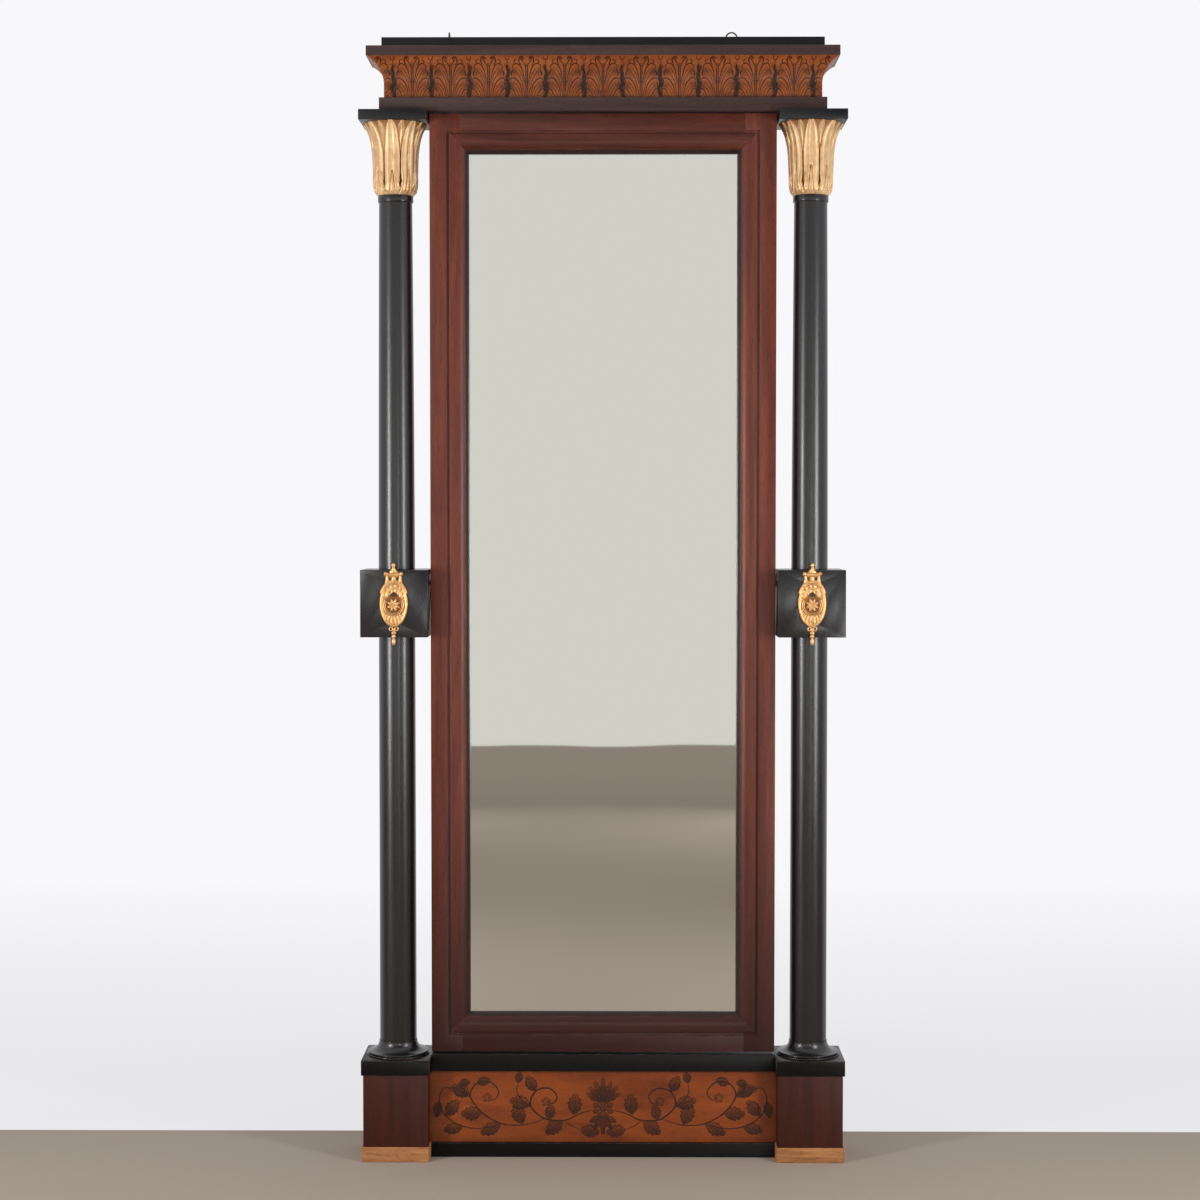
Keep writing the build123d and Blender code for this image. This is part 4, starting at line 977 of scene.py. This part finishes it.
def petalOutline(centre, turn, foot, shoulder, tip, spread):
    # Foot, shoulder, tip, shoulder and foot again, each by its distance from the flower's middle
    return [(centre[0] + reach * math.cos(turn + lean), centre[1] + reach * math.sin(turn + lean))
            for reach, lean in ((foot, 0), (shoulder, -spread), (tip, 0), (shoulder, spread), (foot, 0))]


strokes = [(points, width * 1.4) for points, width in stems]
polygons = []
for x, y, turn, length, wide in leaves:
    length, wide = length * 1.22, wide * 1.3
    upper, lower = leafOutline((x, y), turn, length, wide)
    strokes += [(upper, 1.5), (lower, 2.2), midrib((x, y), turn, length, 0.92, 1.1)]
    polygons.append((upper + lower[::-1], 0.8))
    c, s = math.cos(math.radians(turn)), math.sin(math.radians(turn))
    for t in (k / 6.5 for k in range(1, 6)):
        for sign in (-1, 1):
            reach = 0.7 * wide * math.sin(math.pi * t) ** 0.75
            a = (x + t * length * c, y + t * length * s)
            b = (a[0] + 0.16 * length * c - sign * reach * s, a[1] + 0.16 * length * s + sign * reach * c)
            strokes.append(([a, ((a[0] + b[0]) / 2, (a[1] + b[1]) / 2), b], 0.9))
# Small flowers where the scrolls end
for x, y, size in ((118, 84, 8), (240, 92, 8), (312, 110, 6)):
    for k in range(5):
        petal = petalOutline((x, y), 2 * math.pi * k / 5 + 0.3, size * 0.35, size, size * 1.18, 0.42)
        strokes.append((petal, 1.2))
        polygons.append((petal, 0.55))
for drawn in (strokes, polygons):
    drawn += [([(-x, y) for x, y in points], value) for points, value in drawn]
# Rosette in the middle, a palmette over it and a fan below
for k in range(8):
    a = 2 * math.pi * (k + 0.5) / 8
    petal = petalOutline((0, 70), a, 6, 17, 22, 0.3)
    strokes += [(petal, 1.5), ([petal[0], (18 * math.cos(a), 70 + 18 * math.sin(a))], 0.9)]
    polygons.append((petal, 0.75))
ring = [(6 * math.cos(2 * math.pi * k / 16), 70 + 6 * math.sin(2 * math.pi * k / 16)) for k in range(17)]
strokes.append((ring, 1.5))
polygons.append((ring, 0.75))
for spread, reach, foot, up in ((7, 52, 84, 1), (5, 40, 54, -1)):
    for k in range(spread):
        lean = (k - (spread - 1) / 2) / ((spread - 1) / 2)
        long = reach * (1 - 0.3 * abs(lean))
        turn = 90 * up - 62 * lean * up
        upper, lower = leafOutline((lean * 3.0, foot), turn, long, 6.2, 3)
        strokes += [(upper, 1.3), (lower, 1.6), midrib((lean * 3.0, foot), turn, long, 0.9, 1.0)]
        polygons.append((upper + lower[::-1], 0.85))

half, columns, rows = (panelDrawing[key] for key in ("half", "columns", "rows"))
gridU, gridV = np.meshgrid(np.linspace(-half, half, columns), np.linspace(0, panelDrawing["tall"], rows))
wash = np.zeros_like(gridU)
for outline, share in polygons:
    # Even-odd test of every point against the outline, shaded from one side
    inside = np.zeros(gridU.shape, dtype=bool)
    for (x0, y0), (x1, y1) in zip(outline, outline[1:] + outline[:1]):
        if y0 != y1:
            inside ^= ((y0 > gridV) != (y1 > gridV)) & (gridU < (x1 - x0) * (gridV - y0) / (y1 - y0) + x0)
    lowest, tallest = min(y for _, y in outline), max(y for _, y in outline)
    shade = share * (1.25 - 0.8 * (gridV - lowest) / max(tallest - lowest, 1))
    wash = np.where(inside, np.maximum(wash, shade), wash)
# Painted shade: the wash deepens towards the ends and along the top and bottom, where the sunk panel lies in
# the shade of the plinths and rails
wash += (0.3 * smoothStep(300, 359, np.abs(gridU)) + 0.12 * smoothStep(20, 0, gridV)
         + 0.12 * smoothStep(128, 148.5, gridV))
front = [(u * mm, panelDrawing["front"] * mm, (panelDrawing["bottom"] + v) * mm)
         for u, v in zip(gridU.ravel(), gridV.ravel())]
low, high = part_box("base_panel")
corners = [(x * half * mm, high.y, z) for x, z in ((-1, low.z), (1, low.z), (1, high.z), (-1, high.z))]
total = rows * columns
faces = [(k, k + 1, k + columns + 1, k + columns) for r in range(rows - 1)
         for k in range(r * columns, (r + 1) * columns - 1)]
faces += [(total + 3, total + 2, total + 1, total), [*range(columns)][::-1] + [total, total + 1],
          [*range(total - columns, total)] + [total + 2, total + 3],
          [*range(0, total, columns)] + [total + 3, total],
          [*range(columns - 1, total, columns)][::-1] + [total + 1, total + 2]]
mesh = bpy.data.meshes.new("panel")
mesh.from_pydata(front + corners, [], faces)
# The wash layer carries the ink wash and the painted shade at the panel's ends and edges
addLayer(mesh, "wash", np.append(np.clip(wash, 0, 0.9).ravel(), np.zeros(4)))
closeMesh(mesh, None)
addPiece("veneered_base_panel", mesh, "birchPanel", "stand", ["base_panel"], 30)
# The panel is flat, so its foot reaches beyond its top
drawn = layStrokes(strokes, 1, 0, (0, panelDrawing["front"], panelDrawing["bottom"]), (1, 0, 0), (0, -1, 0),
                   1000)
addPiece("panel_penwork", joinMeshes("panelPenwork", [drawn]), "ink", "stand", (), 50)
print("panel is drawn")


def toBlockFront(sign, x, y, rise):
    # From an escutcheon's own drawing, rise off the block's face, to the frame
    return Vector(((sign * turnery["x"] + x) * mm, (ormoluWork["face"] - rise) * mm,
                   (ormoluWork["height"] + y) * mm))


def circlePoints(count, turn=0.0):
    return [2 * math.pi * (k + turn) / count for k in range(count)]


def addTube(shape, place, points, radius, flat=1.0, sides=10, ring=False):
    # A round bar through the points; flat squashes it towards the block
    points = [Vector(p) for p in points]
    rows = []
    for i, point in enumerate(points):
        before = points[i - 1] if ring or i else points[0]
        after = points[(i + 1) % len(points)] if ring or i + 1 < len(points) else points[-1]
        along = (after - before).normalized()
        aside = along.cross(Vector((0, 0, 1))).normalized()
        up = flat * aside.cross(along)
        rows.append([shape.verts.new(place(*(point + radius * (math.cos(a) * aside + math.sin(a) * up))))
                     for a in circlePoints(sides)])
    skinRows(shape, rows, ring)


def addDrop(shape, place, outline, centre, rise, flat=0.7, sides=14):
    # A small turned ornament standing up the drawing: radii at heights, closed at both ends
    turns = [(math.cos(a), flat * math.sin(a)) for a in circlePoints(sides)]
    skinRows(shape, [[shape.verts.new(place(centre + radius * c, y, rise + radius * s)) for c, s in turns]
                     for radius, y in outline])


def addBand(shape, place, outer, inner, heights):
    # A strap between two lines of as many points, with its section's heights, closed at the block
    section = [(0, 0), *((k / (len(heights) - 1), height) for k, height in enumerate(heights)), (1, 0)]
    skinRows(shape, [[shape.verts.new(place(ox + (ix - ox) * share, oy + (iy - oy) * share, height))
                      for share, height in section] for (ox, oy), (ix, iy) in zip(outer, inner)])


def addPetal(shape, place, middle, direction, length, width, rise, thick):
    # An egg-shaped bead lying along a direction
    turn = Matrix.Rotation(direction, 3, "Z")
    for vertex in bmesh.ops.create_uvsphere(shape, u_segments=12, v_segments=8, radius=1.0)["verts"]:
        x, y, z = vertex.co
        local = turn @ Vector((x * length / 2, y * width / 2 * (1 - 0.25 * x), 0))
        vertex.co = place(middle[0] + local.x, middle[1] + local.y, rise + z * thick)


# Ormolu escutcheons. A pierced casting: bud and crest bar on three posts, oval field under a hood, a ringed
# medallion with a rosette, fluting below it, two loops and a beaded drop. Sizes in mm
ormoluWork = {
    "face": 3.5 - 69, "height": 1149.75, "oval": (29.0, 48.0), "plate": 2.4, "rim": 2.6, "ring": 20.0,
    "ringCentre": -3.0, "petals": 8,
    "bud": [(3.0, 66.0), (3.4, 70.0), (2.8, 73.6), (2.4, 74.6), (3.6, 75.8), (4.2, 78.2), (3.6, 80.6),
            (2.2, 82.4), (0.2, 83.0)],
    "drop": [(0.2, -84.5), (2.2, -83.9), (3.6, -81.6), (4.2, -77.6), (3.6, -73.4), (2.2, -70.6), (2.0, -69.8),
             (4.4, -68.2), (4.8, -65.8), (3.4, -63.8), (2.4, -63.2), (4.6, -61.8), (5.4, -59.4), (4.4, -57.0),
             (2.6, -55.8), (2.4, -50.0)],
    "pearls": 64, "pearl": 0.7, "ringSpan": (-212, 32),
    "hoods": [
        ([(-28.4, 22), (-27.6, 26), (-25.6, 31), (-22.4, 36.5), (-17.8, 42.8), (-10.5, 47.7), (0, 49.6)],
         [(-19.2, 20), (-18.8, 23.6), (-17.2, 27.6), (-14.4, 31.4), (-10.4, 34.8), (-5.4, 37.2), (0, 38)],
         [2.4, 4.2, 5.3, 5.5, 5.0, 4.2, 5.2, 3.2]),
        ([(-17.6, 16), (-17.4, 20), (-15.8, 24.2), (-13, 28.4), (-9.2, 31.8), (-4.8, 34), (0, 34.8)],
         [(-11.4, 14), (-11, 17), (-10, 20.4), (-8.4, 23.4), (-6, 26), (-3.2, 27.6), (0, 28.2)],
         [2.8, 3.9, 4.3, 4.1, 3.0]),
    ],
    "crest": [
        ([(-18, 64), (-13, 64.4), (-7, 63.4), (0, 65.2), (7, 63.4), (13, 64.4), (18, 64)],
         [(-18, 56.6), (-13, 54.4), (-7, 53.2), (0, 52.6), (7, 53.2), (13, 54.4), (18, 56.6)],
         [2.4, 4.6, 5.5, 5.3, 4.3, 2.6]),
        ([(-5.6, 57), (-4.6, 52), (-6.2, 46)], [(5.6, 57), (4.6, 52), (6.2, 46)], [2.2, 3.9, 4.5, 3.9, 2.2]),
        ([(-8.6, 63.6), (-8.2, 66), (-6.0, 67.4), (-5.8, 69.4), (-4.0, 70.8), (-3.2, 74)],
         [(8.6, 63.6), (8.2, 66), (6.0, 67.4), (5.8, 69.4), (4.0, 70.8), (3.2, 74)],
         [2.4, 4.4, 5.4, 4.4, 2.4]),
    ],
    "post": [([(17.2, 58), (16.8, 52), (18.6, 42)], [(10.6, 57), (10.0, 52), (8.8, 45.6)],
              [2.2, 3.9, 4.5, 3.9, 2.2])],
}


def fieldHeight(x, y, share):
    # Relief of the oval field: a rolled rim, a sunk fluted border, a raised medallion
    rx, ry = ormoluWork["oval"]
    edge = (1 - share) * math.hypot(rx * math.cos(math.atan2(y / ry, x / rx)),
                                    ry * math.sin(math.atan2(y / ry, x / rx)))
    height = ormoluWork["plate"]
    if edge < 6:
        height += ormoluWork["rim"] * math.sin(math.pi * min(edge / 6, 1.0)) ** 0.6
    fromRing = math.hypot(x, y - ormoluWork["ringCentre"]) - ormoluWork["ring"]
    if fromRing > 0 and edge >= 4:
        turn = math.atan2(y - ormoluWork["ringCentre"], x)
        fade = min(fromRing / 3, 1.0) * min((edge - 4) / 2, 1.0)
        height += fade * (0.9 + 0.5 * math.cos(26 * turn))
    if fromRing < 0:
        height -= 0.5 * min(-fromRing / 3, 1.0)
    return height


for side, sign in sides.items():
    place = functools.partial(toBlockFront, sign)
    shape = bmesh.new()
    rx, ry = ormoluWork["oval"]
    spokes, hoops = 128, 26
    grid = []
    for share in [*(hoop / hoops for hoop in range(1, hoops + 1)), None]:
        row = []
        for a in circlePoints(spokes):
            x, y = rx * (share or 1) * math.cos(a), ry * (share or 1) * math.sin(a)
            row.append(shape.verts.new(place(x, y, fieldHeight(x, y, share) if share else 0)))
        grid.append(row)
    top = shape.verts.new(place(0, 0, fieldHeight(0, 0, 0)))
    under = shape.verts.new(place(0, 0, 0))
    skinRows(shape, grid, capped=False)
    for k in range(spokes):
        shape.faces.new((top, grid[0][(k + 1) % spokes], grid[0][k]))
        shape.faces.new((under, grid[-1][k], grid[-1][(k + 1) % spokes]))
    # Hood: a broad strap round the top of the field, and a narrow one inside it
    for outer, inner, heights in ormoluWork["hoods"]:
        both = [smoothStroke(half + [(-x, y) for x, y in half[-2::-1]], 4) for half in (outer, inner)]
        addBand(shape, place, *both, heights)
    # The medallion's ring, open at the top, with a fine inner ring
    low, high = (math.radians(a) for a in ormoluWork["ringSpan"])
    for radius, thick, rise in ((ormoluWork["ring"], 1.5, 4.6), (ormoluWork["ring"] - 3.4, 0.8, 4.3)):
        arc = [(radius * math.cos(a), ormoluWork["ringCentre"] + 1.02 * radius * math.sin(a), rise)
               for a in (low + (high - low) * k / 48 for k in range(49))]
        addTube(shape, place, arc, thick, 0.9, 8)
    # Rosette: two rings of petals round a button
    centreY = ormoluWork["ringCentre"] + 0.4
    for turn, out, *size in ((0.5, 8.6, 10.8, 6.0, 3.6, 2.5), (0.0, 5.0, 7.0, 4.2, 5.6, 2.0)):
        for a in circlePoints(ormoluWork["petals"], turn):
            addPetal(shape, place, (out * math.cos(a), centreY + out * math.sin(a)), a, *size)
    addPetal(shape, place, (0, centreY), 0, 5.0, 5.0, 7.0, 1.9)
    # Crest bar with knobs, three posts, the bud above
    for outer, inner, heights in ormoluWork["crest"]:
        addBand(shape, place, smoothStroke(outer, 4), smoothStroke(inner, 4), heights)
    for end in (-1, 1):
        addPetal(shape, place, (end * 16.2, 60.6), 0, 7.6, 9.0, 3.4, 3.0)
        addPetal(shape, place, (end * 17.2, 60.6), 0, 2.8, 2.8, 6.0, 1.2)
        for outer, inner, heights in ormoluWork["post"]:
            addBand(shape, place, [(end * x, y) for x, y in smoothStroke(outer, 4)],
                    [(end * x, y) for x, y in smoothStroke(inner, 4)], heights)
        addTube(shape, place, [(end * 5.6 + 3.5 * math.cos(a), -51.2 + 3.5 * math.sin(a), 3.0)
                               for a in circlePoints(20)], 1.55, 1.0, 8, True)
    addDrop(shape, place, ormoluWork["bud"], 0, 3.4)
    addDrop(shape, place, ormoluWork["drop"], 0, 3.4)
    addPetal(shape, place, (0, -35.5), 0, 5.0, 5.0, 4.0, 2.0)
    bmesh.ops.recalc_face_normals(shape, faces=shape.faces)
    # The lower the casting lies, the browner its recess layer makes it: toning in the hollows, and painted
    # shade
    layer = shape.verts.layers.float.new("recess")
    front = ormoluWork["face"] * mm
    for vertex in shape.verts:
        rise = (front - vertex.co.y) / mm
        vertex[layer] = 1 - min(max((rise - 1.6) / 3.2, 0.0), 1.0)
        vertex.co.y = min(vertex.co.y, front)
    addPiece(f"cast_escutcheon_{side}", meshOf("escutcheon", shape), "ormolu", "stand",
             [f"escutcheon_{side}"], 50)
    # Painted shadow: a dark iron arch above the rosette stands for the shade in the keyhole's hole
    arch = [(6.4 * math.cos(a), 14.6 + 9.4 * math.sin(a)) for a in (math.pi * k / 16 for k in range(17))]
    mesh = bpy.data.meshes.new("keyhole")
    count = len(arch)
    mesh.from_pydata([place(x, y, rise) for rise in (4.0, 5.3) for x, y in arch], [],
                     [tuple(range(count)), tuple(range(2 * count - 1, count - 1, -1))]
                     + [(k, (k + 1) % count, count + (k + 1) % count, count + k) for k in range(count)])
    closeMesh(mesh)
    addPiece(f"keyhole_shadow_arch_{side}", mesh, "iron", "stand", (), 30)

# Pearls round the rim, and domed pin heads at the top and bottom of the field
tree, given = startTree("rimPearls", {"Radius": "Float", "Finish": "Material"})
pearl = addNode(tree, "GeometryNodeMeshUVSphere", {"Segments": 8, "Rings": 6, "Radius": given["Radius"]})
strung = addNode(tree, "GeometryNodeInstanceOnPoints", {"Points": given["Geometry"], "Instance": pearl})
endTree(tree, strung, given["Finish"])
rx, ry = ormoluWork["oval"]
for side, sign in sides.items():
    spots = bpy.data.meshes.new("pearlSpots")
    spots.from_pydata([toBlockFront(sign, (rx - 5.4) * math.cos(a), (ry - 5.4) * math.sin(a), 3.2)
                       for a in circlePoints(ormoluWork["pearls"], 0.5) if math.sin(a) * ry < 21], [], [])
    pearls = growMesh(tree, spots, {"Radius": ormoluWork["pearl"] * mm, "Finish": materials["ormolu"]})
    closeMesh(pearls)
    addPiece(f"rim_pearls_{side}", pearls, None, "stand", (), 60)
shape = bmesh.new()
for sign in sides.values():
    for y, rise in ((43.4, 5.4), (-40.5, 4.6)):
        addPetal(shape, functools.partial(toBlockFront, sign), (0, y), 0, 4.4, 4.4, rise, 1.5)
mesh = meshOf("pinHeads", shape)
closeMesh(mesh)
addPiece("domed_pin_heads", mesh, "ormolu", "stand", ["escutcheon_pins"], 60)
print("escutcheons are cast")


# Slotted screws: a head for every screw of the CAD, each turned to where the driver left it
screwHeads = {"depth": 2.0, "slotWide": 0.2, "slotDeep": 0.9, "seed": 5}
tree, given = startTree("slottedScrews", {"Radius": "Float", "Depth": "Float", "Slot Width": "Float",
                                          "Slot Depth": "Float", "Facing": "Vector", "Seed": "Int",
                                          "Finish": "Material"})
disc = {"Vertices": 24, "Radius": given["Radius"], "Depth": given["Depth"]}
disc = addNode(tree, "GeometryNodeMeshCylinder", disc).outputs["Mesh"]
down = addNode(tree, "ShaderNodeMath", {0: given["Depth"], 1: -0.5}, operation="MULTIPLY")
down = addNode(tree, "ShaderNodeCombineXYZ", {2: down})
disc = addNode(tree, "GeometryNodeTransform", {0: disc, "Translation": down})
long = addNode(tree, "ShaderNodeMath", {0: given["Radius"], 1: 2.4}, operation="MULTIPLY")
wide = addNode(tree, "ShaderNodeMath", {0: given["Slot Depth"], 1: 2.0}, operation="MULTIPLY")
size = addNode(tree, "ShaderNodeCombineXYZ", {0: long, 1: given["Slot Width"], 2: wide})
slot = addNode(tree, "GeometryNodeMeshCube", {"Size": size}).outputs["Mesh"]
head = addNode(tree, "GeometryNodeMeshBoolean", {0: disc, 1: slot}, operation="DIFFERENCE").outputs["Mesh"]
driven = addNode(tree, "GeometryNodeInstanceOnPoints",
                 {"Points": given["Geometry"], "Instance": head, "Rotation": given["Facing"]})
turn = addNode(tree, "FunctionNodeRandomValue", {2: 0.0, 3: math.pi, "Seed": given["Seed"]}).outputs[1]
turn = addNode(tree, "ShaderNodeCombineXYZ", {2: turn})
driven = addNode(tree, "GeometryNodeRotateInstances", {0: driven, "Rotation": turn})
endTree(tree, driven, given["Finish"])


def screwPlaces(name):
    # The box of every separate screw in a CAD node
    shape = bmesh.new()
    shape.from_mesh(nodes[name].data)
    bmesh.ops.remove_doubles(shape, verts=shape.verts, dist=0.001 * mm)
    left = set(shape.verts)
    boxes = []
    while left:
        queue = [left.pop()]
        low, high = queue[0].co.copy(), queue[0].co.copy()
        while queue:
            vertex = queue.pop()
            low = Vector(map(min, low, vertex.co))
            high = Vector(map(max, high, vertex.co))
            for edge in vertex.link_edges:
                other = edge.other_vert(vertex)
                if other in left:
                    left.discard(other)
                    queue.append(other)
        boxes.append((low, high))
    shape.free()
    return sorted(boxes, key=lambda box: tuple(round(c, 5) for c in box[0]))


for name in ("backboard_screws", "pivot_plate_screws"):
    boxes = screwPlaces(name)
    heads = []
    if name == "backboard_screws":
        radius = (boxes[0][1].x - boxes[0][0].x) / 2
        middles = [((low.x + high.x) / 2, high.y, (low.z + high.z) / 2) for low, high in boxes]
        groups = [((-math.pi / 2, 0, 0), middles)]
    else:
        radius = (boxes[0][1].y - boxes[0][0].y) / 2
        groups = [((0, sign * math.pi / 2, 0),
                   [(high.x if sign > 0 else low.x, (low.y + high.y) / 2, (low.z + high.z) / 2)
                    for low, high in boxes if sign * low.x > 0]) for sign in (-1, 1)]
    for facing, spots in groups:
        points = bpy.data.meshes.new("screwSpots")
        points.from_pydata(spots, [], [])
        heads.append(growMesh(tree, points, {
            "Radius": radius, "Depth": screwHeads["depth"] * mm, "Facing": facing, "Seed": screwHeads["seed"],
            "Slot Width": screwHeads["slotWide"] * 2 * radius, "Slot Depth": screwHeads["slotDeep"] * mm,
            "Finish": materials["iron"]}))
    addPiece(f"slotted_{name}", joinMeshes(name, heads), "iron", "mirror", [name], 30)
    print(name, len(boxes), "radius", round(radius / mm, 2))


# What each CAD node that stays in view is finished with
nodeFinish = {
    "pineLevel": ["base_glue_blocks", "cornice_glue_blocks", "cornice_dowels"],
    "pineUpright": ["glazing_blocks"],
    "iron": ["pivot_bush_left", "pivot_bush_right", "pivot_plate_left", "pivot_plate_right"],
    "wire": ["wall_eye_left", "wall_eye_right"],
    "mirror": ["mirror_glass"],
}
for key, members in nodeFinish.items():
    for member in members:
        nodes[member].data.materials.clear()
        nodes[member].data.materials.append(materials[key])
print("finishes are assigned")

low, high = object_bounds()
